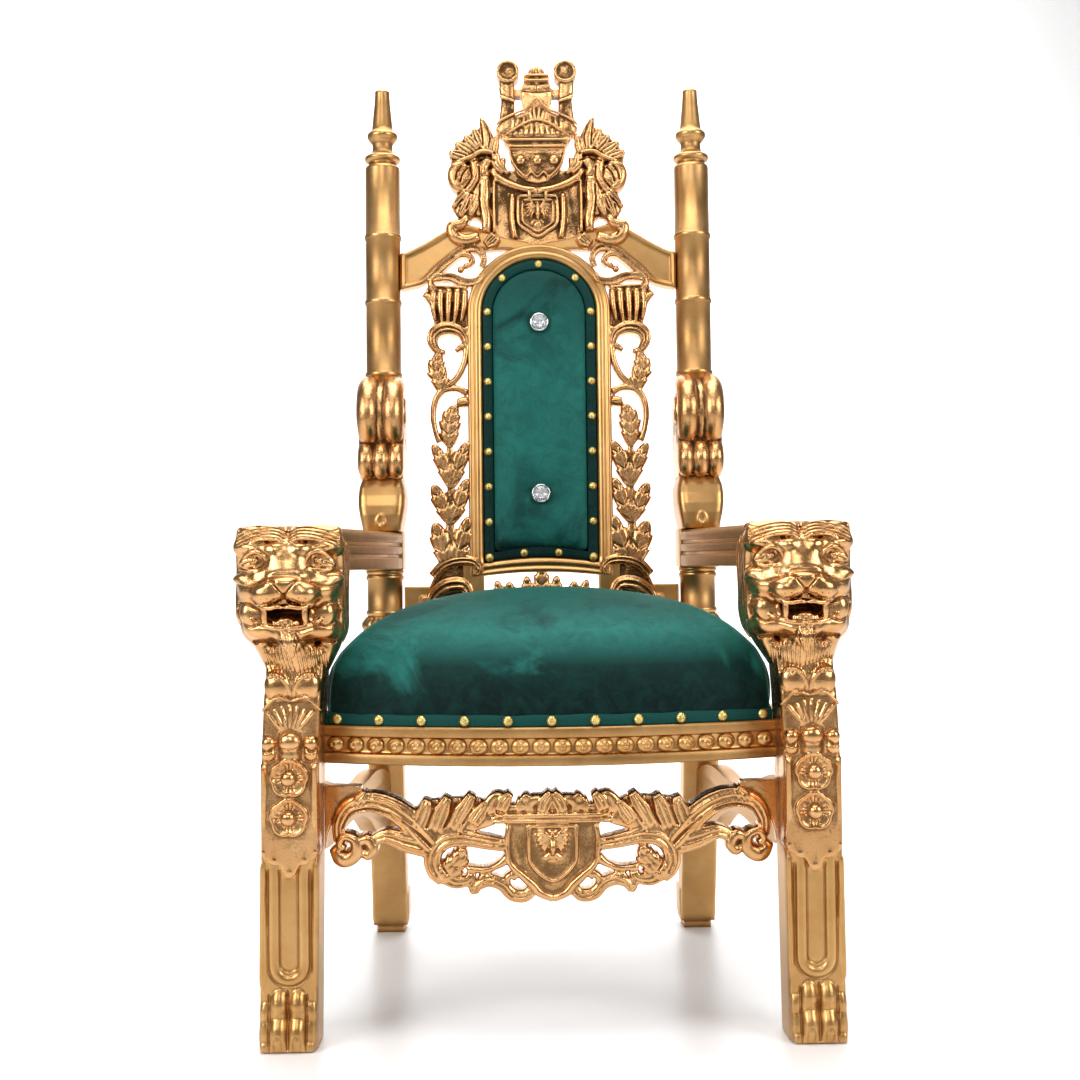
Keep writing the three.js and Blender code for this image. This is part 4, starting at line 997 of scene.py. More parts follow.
def leg_shell():
    """A fluted shell plate with a loaf-shaped bead at its foot, and the leaf collar over it."""
    shapes = []
    x = float(leg_x(350))
    face = float(leg_face(365))
    for lean, top in ((-26, 376), (-17, 378), (-8.5, 381), (0, 383), (8.5, 381), (17, 378), (26, 376)):
        shapes.append(tube([(x + lean * 0.25, face - 0.2, 353), (x + lean * 0.62, face - 0.8, 364),
                            (x + lean, face - 0.4, top)], [0.7, 1.3, 0.8], 8))
    for side in (-1, 1):
        x1 = float(leg_x(388))
        collar = [(x1 + side * 33, face + 1, 376), (x1 + side * 29, face - 2.4, 380),
                  (x1 + side * 20, face - 3, 389), (x1 + side * 12, face - 3.4, 391),
                  (x1 + side * 5, face - 3, 389), (x1, face - 2.8, 387)]
        shapes.append(tube(collar, [1.8] * 3, 10))
        shapes.append(ball((x1 + side * 15.5, leg_face(402) + 3, 403), (16, 11, 19), (0, side * 0.12, 0)))
        shapes.append(ball((x1 + side * 7, leg_face(402) + 4, 397), (9, 8, 13)))
        shapes.append(tube([(x1 + side * 30, leg_face(400) + 3, 408),
                            (x1 + side * 23, leg_face(400) - 3.5, 416),
                            (x1 + side * 12, leg_face(400) - 5, 414),
                            (x1 + side * 4, leg_face(400) - 3, 403),
                            (x1 + side * 1.5, leg_face(400) - 1, 390)], [1.8, 2.4, 2.6, 2.2, 1.6], 10))
        shapes.append(ball((x + side * 23, leg_face(338), 341), (8.2, 7.5, 8.6)))
        shapes.append(ball((x + side * 23, leg_face(338) + 1, 329), (8, 6, 8)))
    shapes.append(ball((float(leg_x(412)), leg_face(412) + 1, 414), (17, 8, 24)))
    shapes.append(ball((x, leg_face(342) - 1, 342), (12.4, 8.5, 11.5)))
    shapes.append(ball((x, leg_face(328) + 1, 328), (10.2, 7.5, 14)))
    return shapes


def shell_cuts():
    """The line across the loaf and the crescent under each side bead."""
    x = float(leg_x(340))
    cuts = [([(x - 11, 336), (x, 335), (x + 11, 336)], 1.4, 1)]
    for side in (-1, 1):
        cuts.append(([(x + side * 18.5, 336), (x + side * 24, 331.5), (x + side * 30, 335)], 1.7, 2.4))
        cuts.append(([(x + side * 11.5, 352), (x + side * 12.6, 336), (x + side * 10.8, 318)], 1.5, 1.6))
    return cuts


def lion_base():
    """The lion's skull and neck, square behind where the arm meets it."""
    levels = [-96, -80, -66, -50, -30, -10, 12, 34, 50, 61, 67]
    rings = []
    for dz in levels:
        share = float(np.interp(dz, [-94, -70, -45, -10], [0, 0.5, 0.8, 1]))
        z = HEAD_Z + dz
        x = float(leg_x(z)) * (1 - share) + HEAD_X * share
        half = float(np.interp(dz, [-96, -80, -66, -50, -30, 32, 58, 67],
                               [32, 40, 48, 55, 58, 58.5, 57, 50]))
        front = float(np.interp(dz, [-94, -70, -45, -10, 32, 58, 67], [-22, -14, -10, -16, -22, -22, -12]))
        rear = float(np.interp(dz, [-94, -50, -10], [LEG_BACK_Y, LEG_BACK_Y + 10, HEAD_REAR_Y]))
        rings.append(rounded_ring(x, z, half, HEAD_Y + front, rear - 2, 0.5))
    return loft(rings)


def lion_forms():
    """The soft forms of the face, as (x, y, z) from the middle of the head."""
    middle = [
        ball((0, -24, 44), (44, 15, 15)),
        ball((0, -33, 27), (27, 14, 15)),
        ball((0, -39, 16), (25, 13, 9)),
        ball((0, -49, 7), (18, 12, 8)),
        ball((0, -50, -2), (8, 10, 9)),
        ball((0, -28, -44), (33, 20, 13)),
        ball((0, -38, -48), (23, 14, 9)),
        ball((0, -36, -58), (14, 10, 12)),
        ball((0, -22, -72), (27, 14, 24)),
    ]
    half = [
        ball((13, -32, 44), (13, 11, 10)),
        ball((27, -30, 15), (15, 13, 11)),
        ball((33, -24, 46), (25, 12, 8), (0, -0.12, 0)),
        ball((53, -12, 48), (11, 12, 12)),
        ball((40, -17, 14), (24, 18, 9), (0, 0.1, 0)),
        ball((19.5, -45, -4), (18.5, 16, 14)),
        ball((12.5, -50, 8), (9, 10, 7)),
        ball((36, -20, 0), (20, 22, 16)),
        ball((50, -8, -10), (11, 14, 26)),
        ball((42, -23, -26), (13, 14, 16)),
        ball((31, -24, -27), (10, 12, 16)),
        ball((32, -22, -44), (20, 16, 13)),
        ball((46, -6, -44), (13, 16, 17)),
        ball((33, -8, -68), (10, 14, 24), (0, 0.45, 0)),
        ball((34, -13, 62), (27, 17, 9.5), (0, -0.1, 0)),
    ]
    return middle + both(half)


LION_PITS = [
    ([(-12, -27.5), (0, -26), (12, -27.5)], 9.5, 20),
    ([(26, 32), (34, 32.5), (47, 28)], 11, 1.5),
    ([(-26, 32), (-34, 32.5), (-47, 28)], 11, 1.5),
    ([(-20, 11.5), (-11, 15.5), (0, 16.5), (11, 15.5), (20, 11.5)], 3.4, 3.2),
    ([(0, -6), (0, -13)], 4, 4),
]


def face_half():
    """The carved detail on one side of the face, from the middle of the head."""
    shapes = [ball((37, -26, 31.5), (17, 8.5, 9.2), (0, 0.15, 0)), ball((34, -34.6, 32.5), (3.2, 2.4, 3.2))]
    ring = [(34 + 6.6 * math.cos(a), -34.2 + 0.05 * (6.6 * math.cos(a)) ** 2, 32.3 + 6.6 * math.sin(a))
            for a in np.linspace(0, 2 * math.pi, 17)]
    shapes.append(tube(ring, [1.15] * 3, 8))
    strands = [
        ([(21, -35, 30), (26, -38, 39), (35, -37.5, 42.5), (46, -31, 37), (54, -22, 26)],
         [1.4, 2.4, 2.7, 2.3, 1.4]),
        ([(21, -34, 28), (28, -36.5, 23), (38, -35, 21.5), (47, -30, 22), (54, -22, 24)],
         [1.4, 2, 2.2, 1.9, 1.2]),
        ([(55, -17, 15), (48, -26, 12), (38, -34, 9), (26, -39, 8)], [2, 3.6, 4.4, 3]),
        ([(0, -57, -19), (7, -58.5, -18), (17, -55.5, -19.5), (27, -49, -17), (35, -41, -13)],
         [2, 2.4, 2.6, 2.4, 1.8]),
        ([(0, -50.5, -41.5), (14, -50, -41), (26, -45, -38.5), (36, -37, -34), (45, -28, -27)],
         [2.8, 3, 2.8, 2.4, 1.8]),
    ]
    shapes += [tube(points, radii, 10) for points, radii in strands]
    shapes.append(tube([(21.5, -48, -13), (22, -50, -24), (22, -48.5, -37)], [3.9, 3.7, 2.9], 12))
    shapes += [ball((x, -48, -36.5), (2.3, 2.6, 4)) for x in (2.4, 7.4, 12.4)]
    shapes.append(tube([(4, -44, -45), (3, -51, -57), (0.4, -48, -75)], [7.5, 6, 1.2], 12))
    return shapes


def mane_half():
    """Hair swept from the peak over the brow, and locks round the side of the face."""
    shapes = []
    for k in range(5):
        lift = 3.8 * k
        shapes.append(tube([(0.5, -35 + 2.4 * k, 50 + 0.7 * lift), (11, -38 + 2.8 * k, 56 + 0.75 * lift),
                            (27, -35 + 3.2 * k, 56.5 + 0.85 * lift), (43, -28 + 3.4 * k, 53 + 1.05 * lift),
                            (53, -19 + 3.4 * k, 49 + 1.2 * lift)], [1.4, 2.3, 2.7, 2.7, 1.8], 8))
    for k, (cx, cz, r) in enumerate(((50, 63, 6.4), (52, 52, 5.4))):
        curl = [(cx + r * (1 - a / 9) * math.cos(a), -19 + 2 * k + a, cz + r * (1 - a / 9) * math.sin(a))
                for a in np.linspace(0, 6.4, 9)]
        shapes.append(tube(curl, [2.2, 2.5, 2.1, 1.2], 8))
        shapes.append(ball((cx, -12 + 2 * k, cz), (6, 9, 6)))
    for k in range(5):
        levels = np.linspace(58, -64, 8)
        squeeze = np.interp(levels, [-96, -80, -66, -50, -30], [0.56, 0.69, 0.82, 0.94, 1])
        lock = [(54.5 * s, -9 + 12.5 * k + 4 * math.sin(z / 13 + 1.3 * k), z)
                for z, s in zip(levels, squeeze)]
        shapes.append(tube(lock, [2.6, 6, 6.4, 6.4, 6, 5.4, 4, 1.6], 12))
        x = 3 + 11 * k
        crest = [(x, -20, 65), (x + 2, -4, 67), (x - 1.5, 14, 67), (x + 2, 32, 66), (x, 46, 64)]
        shapes.append(tube(crest, [2.4, 5, 5.4, 5, 3], 12))
    return shapes


def on_head(cuts):
    """Cuts drawn from the middle of the head, moved to where it is."""
    return [([(HEAD_X + x, HEAD_Z + z) for x, z in line], width, depth) for line, width, depth in cuts]


def lion_cuts():
    """Whisker dots, iris, nostrils and the fine hair of the brow, cheeks and neck."""
    half = [
        ([(34, 32.4), (34.1, 32.4)], 1.6, 1.4),
        ([(11, 9.5), (15.5, 10.5)], 2.6, 5),
        ([(42, 31), (50, 28)], 1.8, 2),
        ([(13, 10), (7, 2.5), (0.8, -5)], 1.5, 2.6),
        ([(30, 8), (44, 4), (56, 6)], 2.2, 2.4),
        ([(28, -18), (34, -19), (42, -15), (54, -14)], 2, 2.6),
        ([(30, -36), (42, -40), (52, -34), (56, -22)], 2.2, 2.8),
        ([(8, -56), (20, -57), (32, -56), (44, -58)], 3, 5),
    ]
    half += [([(x, z), (x + 0.1, z)], 1.3, 1.5) for x, z in ((10, -10), (17, -8), (24, -9), (13, -14),
        (21, -14))]
    for k in range(7):
        x = 3 + 4.6 * k
        half.append(([(x + 1, -64 - 0.3 * k), (x * 0.97 + 0.6, -78), (x * 0.9, -97)], 1.25, 1.6))
        half.append(([(x + 3.2, -68), (x * 0.97 + 2.8, -84)], 1.1, 1.2))
    for k in range(4):
        half.append(([(2 + 3.2 * k, -49 - k), (1 + 1.8 * k, -62 + k), (0.5, -72 + 3 * k)], 1, 1.2))
        lift = 3.6 * k
        half.append(([(2, 53 + lift), (12, 57.5 + lift), (27, 57.5 + lift), (42, 53.5 + 1.1 * lift),
                      (56, 48 + 1.1 * lift)], 1, 2.2))
    return on_head([([(0, -6), (0, -15)], 1.6, 2.6)] + both_sides(half))


def lion():
    """The whole head: soft forms first, then the mouth and eyes pressed in, then the detail."""
    at = (HEAD_X, HEAD_Y, HEAD_Z)
    points, faces = fused([lion_base()] + [shifted(s, at) for s in lion_forms()], 2.3, 12)
    points = pressed(points, surface_normals(points, faces), on_head(LION_PITS))
    tongue = ball((0, -42, -33.5), (10.5, 9, 4.5))
    detail = [shifted(s, at) for s in [tongue] + both(face_half() + mane_half())]
    return [(points, faces)] + detail


def lean_out(piece, extra):
    """Moves a head a little off its leg, as hand carving left it."""
    points = mesh_arrays(piece.data)[0]
    points[:, 0] += extra * MM * np.clip((points[:, 2] / MM - 420) / 60, 0, 1)
    move_points(piece.data, points)


class THRONE_OT_legs(bpy.types.Operator):
    """Carves the two front legs with their paws and lion heads"""

    bl_idname = "throne.legs"
    bl_label = "Legs and lions"

    def execute(self, context):
        carving = context.scene.throne_carving
        low = [loft([rounded_ring(leg_x(z), z, LEG_WIDTH / 2, leg_face(z), LEG_BACK_Y, 0.22)
                     for z in (0.5, 70, 190, 216)])]
        low += [fused(paw(), 1.8, 5), *leg_panel()]
        high = [loft([rounded_ring(leg_x(z), z, LEG_WIDTH / 2, leg_face(z), LEG_BACK_Y, 0.22)
                      for z in (216, 260, 330, 385, HEAD_BASE_Z + 10)])]
        high += [*leg_tongue(), *leg_shell(), *lion()]
        cuts = lion_cuts() + shell_cuts()
        for z in (303, 259):
            high += rosette(float(leg_x(z)), float(leg_face(z)) - 2, z, 22)
            cuts += rosette_cuts(float(leg_x(z)), z)
        nodes = ["front_leg_right"]
        shaft = painted("front_leg_shaft_right", low, nodes, voxel=1.3, most=30000,
                        cuts=paw_cuts() + panel_cuts())
        head = make_piece("front_leg_and_lion_right", high, nodes, "leaf_gold", gold_leaf(),
                          voxel=carving.voxel / MM, most=carving.most, uneven=0.12, cuts=cuts)
        for piece in (shaft, head):
            twin = mirror_piece(piece, piece.name.replace("right", "left"), ["front_leg_left"],
                                piece["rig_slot"])
            if piece is head:
                lean_out(twin, -11)
        return {"FINISHED"}


# Back posts


def post_profile():
    profile = [(0, -115), (25.8, -115), (25.8, -104)]
    for w in (-88, -38, -30):
        profile += [(25, w - 4), (26.8, w - 2.4), (27.2, w), (26.8, w + 2.4), (25, w + 4)]
    profile += [(25, 0), (25.4, 120), (25.6, 234)]
    for w in (253, 358, 453):
        profile += [(25, w - 4), (26.2, w - 3), (26.8, w - 1), (26.8, w + 1), (26.2, w + 3), (25, w + 4)]
    top = POST_TOP_W
    profile += [(25, top - 116), (24.6, top - 113), (21, top - 110), (19.6, top - 107), (20.5, top - 105),
                (24.5, top - 103.5), (25.6, top - 101), (25.4, top - 98), (22, top - 95.5),
                (16.5, top - 92), (14.6, top - 87), (14.4, top - 80), (15.2, top - 77), (19, top - 73),
                (21.6, top - 69), (22, top - 66), (21.4, top - 63.5), (18, top - 60.5), (15.2, top - 57),
                (14.8, top - 53), (13.4, top - 38), (11.4, top - 18), (10.5, top - 4), (10.7, top - 1.2),
                (10, top - 0.2), (0, top)]
    return profile


def post_scroll():
    """The carved scroll in front of the post: two fluted rolls over a smooth vase."""
    shapes = []
    for dx, r in ((-17.5, 15.5), (17.5, 15.5), (0, 9)):
        shapes.append(tube([(dx, -8, 232), (dx, -30, 232), (dx, -55, 220), (dx, -66, 198), (dx, -64, 176),
                            (dx, -52, 158), (dx, -38, 150)], [r * 0.75, r, r, r, r, r * 0.9, r * 0.8], 20))
    shapes.append(slab([(-31, 146), (31, 146), (32, 205), (29, 226), (-29, 226), (-32, 205)], -52, 20))
    for dx, r in ((-21, 11), (0, 11.5), (21, 11)):
        shapes.append(tube([(dx, -34, 146), (dx, -52, 141), (dx, -60, 126), (dx, -56, 112), (dx, -44, 104)],
                           [r * 0.8, r, r, r, r * 0.8], 18))
    shapes.append(slab([(-30, 100), (30, 100), (31, 146), (-31, 146)], -46, 20))
    for side in (-1, 1):
        volute = [(side * 31.5, -34 + 20 * (1 - a / 11) * math.cos(a),
                   192 + 24 * (1 - a / 11) * math.sin(a)) for a in np.linspace(1.2, 9.5, 14)]
        shapes.append(tube(volute, [3.4, 3.2, 2.4, 1.6], 8))
    return shapes


def post_vase():
    """The smooth vase under the scroll, with a small tongue at its foot."""
    rings = []
    for w, half, front in ((26, 27, -58), (34, 28, -60), (48, 31, -61), (62, 33, -60), (76, 33.2, -57),
                           (88, 32, -53), (98, 29, -48), (106, 26, -44)):
        rings.append([(x, y, w) for x, y, _ in rounded_ring(0, 0, half, front, 26, 0.3)])
    shapes = [loft(rings)]
    loop = [(5.5 * math.cos(a), -60.5, 38 + 10 * math.sin(a)) for a in np.linspace(-0.5, math.pi + 0.5, 9)]
    shapes.append(tube(loop, [1.5] * 3, 8))
    shapes.append(ball((0, -60, 33), (3, 2, 4)))
    return shapes


def back_leg_y(z):
    share = max(0, 1 - z / (RAIL_TOP_Z - RAIL_HEIGHT))
    return LOWER_POST_Y + (BACK_FOOT_Y - LOWER_POST_Y) * share**1.4


def back_leg():
    rings = []
    for z in np.linspace(12, RAIL_TOP_Z - RAIL_HEIGHT + 4, 30):
        y = back_leg_y(float(z))
        rings.append([(px, py, z) for px, py, _ in rounded_ring(POST_X, 0, 25, y - BACK_LEG_HALF,
            y + BACK_LEG_HALF, 0.14)])
    foot = []
    for z, half in ((12, 20), (14, 24), (18, 26), (24, 26.5), (56, 26.5), (58, 25.5)):
        foot.append(rounded_ring(POST_X, z, half, BACK_FOOT_Y - half + 1.5,
                                 min(REAR_Y, BACK_FOOT_Y + half - 2), 0.14))
    plinth = [rounded_ring(POST_X, z, 20, BACK_FOOT_Y - 20, BACK_FOOT_Y + 20, 0.12) for z in (0.2, 13)]
    return [loft(rings), loft(foot), loft(plinth)]


def gadroon(x, y, z):
    """The fluted flare between the turned column and the square block."""
    rings = []
    angles = np.linspace(0, 2 * math.pi, 96, endpoint=False)
    for dz, r in ((-2, 27), (2, 30.5), (7, 32.5), (12, 32), (17, 28.5), (21, 25.5)):
        rings.append([(x + (r + 1.5 * abs(math.cos(8 * a))) * math.cos(a),
                       y + (r + 1.5 * abs(math.cos(8 * a))) * math.sin(a), z + dz) for a in angles])
    return loft(rings)


class THRONE_OT_posts(bpy.types.Operator):
    """Turns the back posts, with their blocks, scrolls and back legs"""

    bl_idname = "throne.posts"
    bl_label = "Back posts"

    def execute(self, context):
        at_post = BACK_MATRIX @ Matrix.Translation(Vector((POST_X, 0, 0)) * MM)
        nodes = ["back_post_right"]
        column = painted("back_post_column_right", [turned(post_profile())], nodes, matrix=at_post)
        scroll = make_piece("back_post_scroll_right", post_scroll(), nodes, "leaf_gold", aged_and_shaded_leaf(),
                            voxel=1.4, most=24000, matrix=at_post)
        vase = painted("back_post_vase_right", post_vase(), nodes, voxel=1.4, most=8000, matrix=at_post)
        half = BLOCK_HALF
        blocks = [
            brick((POST_X - half, POST_Y - half, ARM_BOTTOM_Z - 2),
                  (POST_X + half, POST_Y + half, ARM_BOTTOM_Z + ARM_HEIGHT + 2)),
            brick((POST_X - half, LOWER_POST_Y - half, RAIL_TOP_Z - RAIL_HEIGHT),
                  (POST_X + half, LOWER_POST_Y + half, 440)),
        ]
        block = painted("back_post_blocks_right", blocks, nodes, recess=False)
        crisp(block, 1.6, 3)
        foot = painted("back_leg_right", back_leg(), nodes)
        flare = painted("back_post_flare_right", [gadroon(POST_X, LOWER_POST_Y, 441)], nodes)
        for piece in (column, scroll, vase, block, foot, flare):
            mirror_piece(piece, piece.name.replace("right", "left"), ["back_post_left"], piece["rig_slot"])
        return {"FINISHED"}


# Arms, rails and stretchers


def moulded_arm():
    """The arm's section: flat top, a sunk channel with a fillet in it, and a lower band."""
    z0, z1, half = ARM_BOTTOM_Z, ARM_BOTTOM_Z + ARM_HEIGHT, 28
    side = [(half - 1.5, z0), (half, z0 + 1.5), (half, z0 + 14), (half - 3.6, z0 + 15.5),
            (half - 3.6, z0 + 19.5), (half - 0.8, z0 + 21), (half - 0.2, z0 + 25.5), (half - 0.8, z0 + 30),
            (half - 3.6, z0 + 31.5), (half - 3.6, z0 + 35.5), (half, z0 + 37), (half + 0.4, z1 - 8),
            (half - 1, z1 - 4), (half - 4, z1 - 1), (half - 8, z1)]
    return side + [(-a, z) for a, z in reversed(side)]


class THRONE_OT_arms(bpy.types.Operator):
    """Runs the moulded arms from the lions' heads back to the posts"""

    bl_idname = "throne.arms"
    bl_label = "Arms"

    def execute(self, context):
        ends = [(HEAD_X, HEAD_REAR_Y + JOINT_GAP), (POST_X, POST_Y - BLOCK_HALF - JOINT_GAP)]
        path = [(np.interp(t, [0, 1], [ends[0][0], ends[1][0]]),
                 np.interp(t, [0, 1], [ends[0][1], ends[1][1]])) for t in np.linspace(0, 1, 12)]
        arm = painted("arm_rail_right", [swept(moulded_arm(), path)], ["arm_right"])
        crisp(arm, 0.5, 1, 40)
        mirror_piece(arm, "arm_rail_left", ["arm_left"], "satin_gold")
        return {"FINISHED"}


def bow_at(x, bow):
    return -bow * max(0, 1 - (x / RAIL_REACH) ** 2)


def bowed_path(inset, reach, bow=RAIL_BOW, steps=48):
    return [(x, RAIL_END_Y + inset + bow_at(x, bow)) for x in np.linspace(-reach, reach, steps)]


def beads():
    """Egg-shaped beads with a dimple, in a row along the bowed rail."""
    shapes = []
    count = 22
    pitch = 2 * RAIL_REACH / count
    z = RAIL_TOP_Z - RAIL_HEIGHT / 2
    for i in range(count):
        x = -RAIL_REACH + pitch * (i + 0.5)
        y = RAIL_END_Y + 5 + bow_at(x, RAIL_BOW)
        slope = math.atan(2 * RAIL_BOW * x / RAIL_REACH**2)
        turn = np.array(Euler((0, 0, slope)).to_matrix())
        local = [ball((0, 0, 0), (pitch * 0.46, 6, 9.2), around=26, down=14)]
        dimple = [(3.1 * math.cos(a), -6, 3.1 * math.sin(a)) for a in np.linspace(0, 2 * math.pi, 11)]
        local.append(tube(dimple, [1.3] * 3, 8))
        for points, faces in local:
            shapes.append((points @ turn.T + np.array([x, y, z]), faces))
    return shapes


class THRONE_OT_rails(bpy.types.Operator):
    """Builds the bowed, beaded front rail, the side and back rails and the stretchers"""

    bl_idname = "throne.rails"
    bl_label = "Rails and stretchers"

    def execute(self, context):
        z0, z1 = RAIL_TOP_Z - RAIL_HEIGHT, RAIL_TOP_Z
        reach = RAIL_REACH - JOINT_GAP
        top = [(13, z1 - 11.5), (14, z1 - 8), (14, z1 - 2), (12.5, z1), (-12, z1), (-12, z0), (12.5, z0),
               (14, z0 + 2), (14, z0 + 8), (13, z0 + 11.5), (8.6, z0 + 13), (8, z0 + 15), (8, z1 - 15),
               (8.6, z1 - 13)]
        front = painted("front_rail_mouldings", [swept(top, bowed_path(14, reach))], ["front_rail"])
        crisp(front, 0.6, 2, 30)
        make_piece("front_rail_beads", beads(), ["front_rail"], "leaf_gold", satin_gold(), voxel=0.9,
                   most=36000, rounds=1)
        section = [(12, z0), (12, z0 + 10), (10, z0 + 12), (6.5, z0 + 15), (6.5, z1 - 15), (10, z1 - 12),
                   (12, z1 - 10), (12, z1), (-12, z1), (-12, z0)]
        half = LEG_WIDTH / 2
        ends = [(RAIL_HALF_SPAN + half - 20, LEG_BACK_Y + JOINT_GAP),
                (POST_X + BLOCK_HALF - 16, LOWER_POST_Y - BLOCK_HALF - JOINT_GAP)]
        path = [(ends[0][0] + (ends[1][0] - ends[0][0]) * t, ends[0][1] + (ends[1][1] - ends[0][1]) * t)
                for t in np.linspace(0, 1, 8)]
        side = painted("side_rail_moulded_right", [swept([(-a, z) for a, z in section], path)],
                       ["side_rail_right"])
        crisp(side, 0.6, 2, 30)
        mirror_piece(side, "side_rail_moulded_left", ["side_rail_left"], "satin_gold")
        low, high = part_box("back_rail")
        back = painted("back_rail_board", [brick(tuple(low / MM), tuple(high / MM))], ["back_rail"],
                       recess=False)
        crisp(back, 1.5, 3)
        board = painted("side_stretcher_board_right", [stretcher()], ["side_stretcher_right"], recess=False)
        crisp(board, 1.8, 3, 50)
        mirror_piece(board, "side_stretcher_board_left", ["side_stretcher_left"], "satin_gold")
        return {"FINISHED"}


def quadratic(a, b, c, steps=14):
    t = np.linspace(0, 1, steps)[1:, None]
    a, b, c = (np.array(p, float) for p in (a, b, c))
    return (1 - t) ** 2 * a + 2 * t * (1 - t) * b + t**2 * c


def stretcher():
    """A shaped board that dips in waves from the front leg to the back leg."""
    y0, y1 = LEG_BACK_Y + JOINT_GAP, back_leg_y(205) - BACK_LEG_HALF - 1
    line = [(y0, 214)]
    for b, c in (((y0 + 60, 186), (y0 + 140, 204)), ((y0 + 230, 224), (y0 + 290, 176)),
                 ((y0 + 330, 160), (y1, 168))):
        line += [tuple(p) for p in quadratic(line[-1], b, c)]
    line.append((y1, 236))
    for b, c in (((y0 + 330, 262), (y0 + 270, 252)), ((y0 + 190, 236), (y0 + 120, 262)),
                 ((y0 + 60, 288), (y0, 282))):
        line += [tuple(p) for p in quadratic(line[-1], b, c)]
    end = POST_Y + 12
    points, faces = slab(line, -11, 11)
    share = (points[:, 0] - y0) / (end - y0)
    x = points[:, 1] + RAIL_HALF_SPAN + (POST_X - RAIL_HALF_SPAN) * share
    return np.stack([x, points[:, 0], points[:, 2]], axis=1), faces


# Apron


APRON_BOARD = (-216, -196)


APRON_STROKES = [
    ([(247, 219), (236, 205), (222, 212), (222, 226), (234, 231), (240, 222), (233, 217)],
     [6, 9, 9, 8, 6, 5, 4], 7, "round"),
    ([(240, 226), (240, 246), (229, 263), (205, 270), (181, 264), (160, 250), (143, 231), (128, 214)],
     [7, 8, 10, 12, 13, 14, 17, 14], 6, "reeded"),
    ([(218, 225), (208, 228), (202, 218), (208, 210), (214, 216)], [5, 7, 7, 6, 4], 6, "round"),
    ([(140, 220), (164, 226), (186, 232), (202, 227)], [12, 12, 9, 6], 5, "reeded"),
    ([(138, 240), (112, 243), (88, 247), (66, 251)], [11, 11, 9, 6], 3, "round"),
    ([(50, 222), (74, 226), (102, 231), (122, 227), (134, 211), (132, 194), (122, 184)],
     [7, 8, 9, 10, 10, 10, 8], 6, "reeded"),
    ([(123, 188), (108, 182), (94, 184), (90, 192)], [8, 8, 6, 5], 4, "veined"),
    ([(96, 196), (74, 195.5), (58, 202), (48, 211)], [4, 3.2, 3.6, 6], 4, "round"),
    ([(93, 186), (88, 172), (84, 178), (70, 183), (56, 178), (46, 168), (32, 166), (22, 174)],
     [4, 5, 6, 7, 7, 7, 7, 6], 5, "reeded"),
    ([(42, 192), (51, 186), (50, 176), (43, 170)], [4, 4, 4, 4], 4, "round"),
    ([(30, 190), (40, 190), (46, 186)], [4, 4, 4], 4, "round"),
    ([(68, 257), (70, 268), (62, 277), (52, 276)], [6, 7, 6, 4], 4, "round"),
    ([(56, 262), (44, 264), (34, 264), (24, 262)], [5, 4, 4, 4], 3, "round"),
    ([(24, 257), (26, 268), (18, 273), (8, 270), (0, 262)], [5, 6, 6, 6, 5], 4, "round"),
]

APRON_FLAMES = [
    ([(150, 240), (144, 258), (139, 274)], [9, 11, 5]),
    ([(132, 238), (125, 258), (116, 277)], [10, 11, 5]),
    ([(111, 240), (100, 260), (89, 280)], [10, 11.5, 5]),
    ([(90, 246), (82, 258), (73, 271)], [8, 9.5, 4]),
    ([(222, 262), (214, 274), (207, 281)], [7, 8, 4]),
    ([(58, 260), (54, 271), (46, 281)], [8, 9, 4]),
    ([(12, 258), (8, 270), (0, 281)], [7, 9, 6]),
]

APRON_LEAVES = [
    ([(134, 186), (118, 194), (104, 208), (100, 221)], 14, 7, 4),
    ([(84, 178), (76, 186), (66, 188)], 7, 5, 2),
    ([(40, 258), (34, 268), (26, 280)], 8, 5, 2),
]

APRON_CUTS = [
    ([(141, 243), (133, 262)], 1.8, 3),
    ([(121, 243), (110, 264)], 1.8, 3),
    ([(100, 247), (90, 263)], 1.8, 3),
    ([(236, 240), (224, 258), (203, 263), (182, 258)], 1.8, 2.6),
    ([(168, 250), (150, 236), (136, 222)], 1.8, 2.6),
    ([(238, 214), (228, 216), (226, 224), (233, 227)], 1.7, 2.6),
    ([(122, 216), (124, 202), (118, 192)], 1.7, 2.6),
    ([(60, 228), (80, 231), (104, 236)], 1.6, 2.2),
]


BIRD_STROKES = [
    ([(0, 15), (0.5, 8), (0, -4), (0, -11)], [1.8, 2.2, 4, 1.6], 7, "round"),
    ([(1, 13), (3.4, 15)], [1.8, 1], 3, "round"),
    ([(2, -8), (7, -13)], [1.4, 1.6], 2.4, "round"),
    ([(0, -10), (1.6, -17)], [2, 2.6], 2.4, "veined"),
]
BIRD_FEATHERS = [(15, 15), (16.5, 10), (16, 5), (14.5, 0.5), (12, -3.5), (9, -6.5)]


def bird(x, w, size, board):
    """A spread-winged bird in low relief, for a shield."""
    def at(dx, dw):
        return (x + dx * size, w + dw * size)

    half = []
    for points, widths, proud, form in BIRD_STROKES:
        half.append(([at(*p) for p in points], [h * size for h in widths], proud, form))
    for fx, fw in BIRD_FEATHERS:
        half.append(([at(2, 5), at(fx * 0.55, fw * 0.55 + 6), at(fx, fw)],
                     [1.3 * size, 1.8 * size, 1.2 * size], 8, "round"))
    right = [stroke(points, widths, proud, form, board) for points, widths, proud, form in half]
    centre = np.array([2 * x, 0, 0])
    left = [(points * np.array([-1, 1, 1]) + centre, [tuple(reversed(f)) for f in faces])
            for points, faces in right]
    return right + left


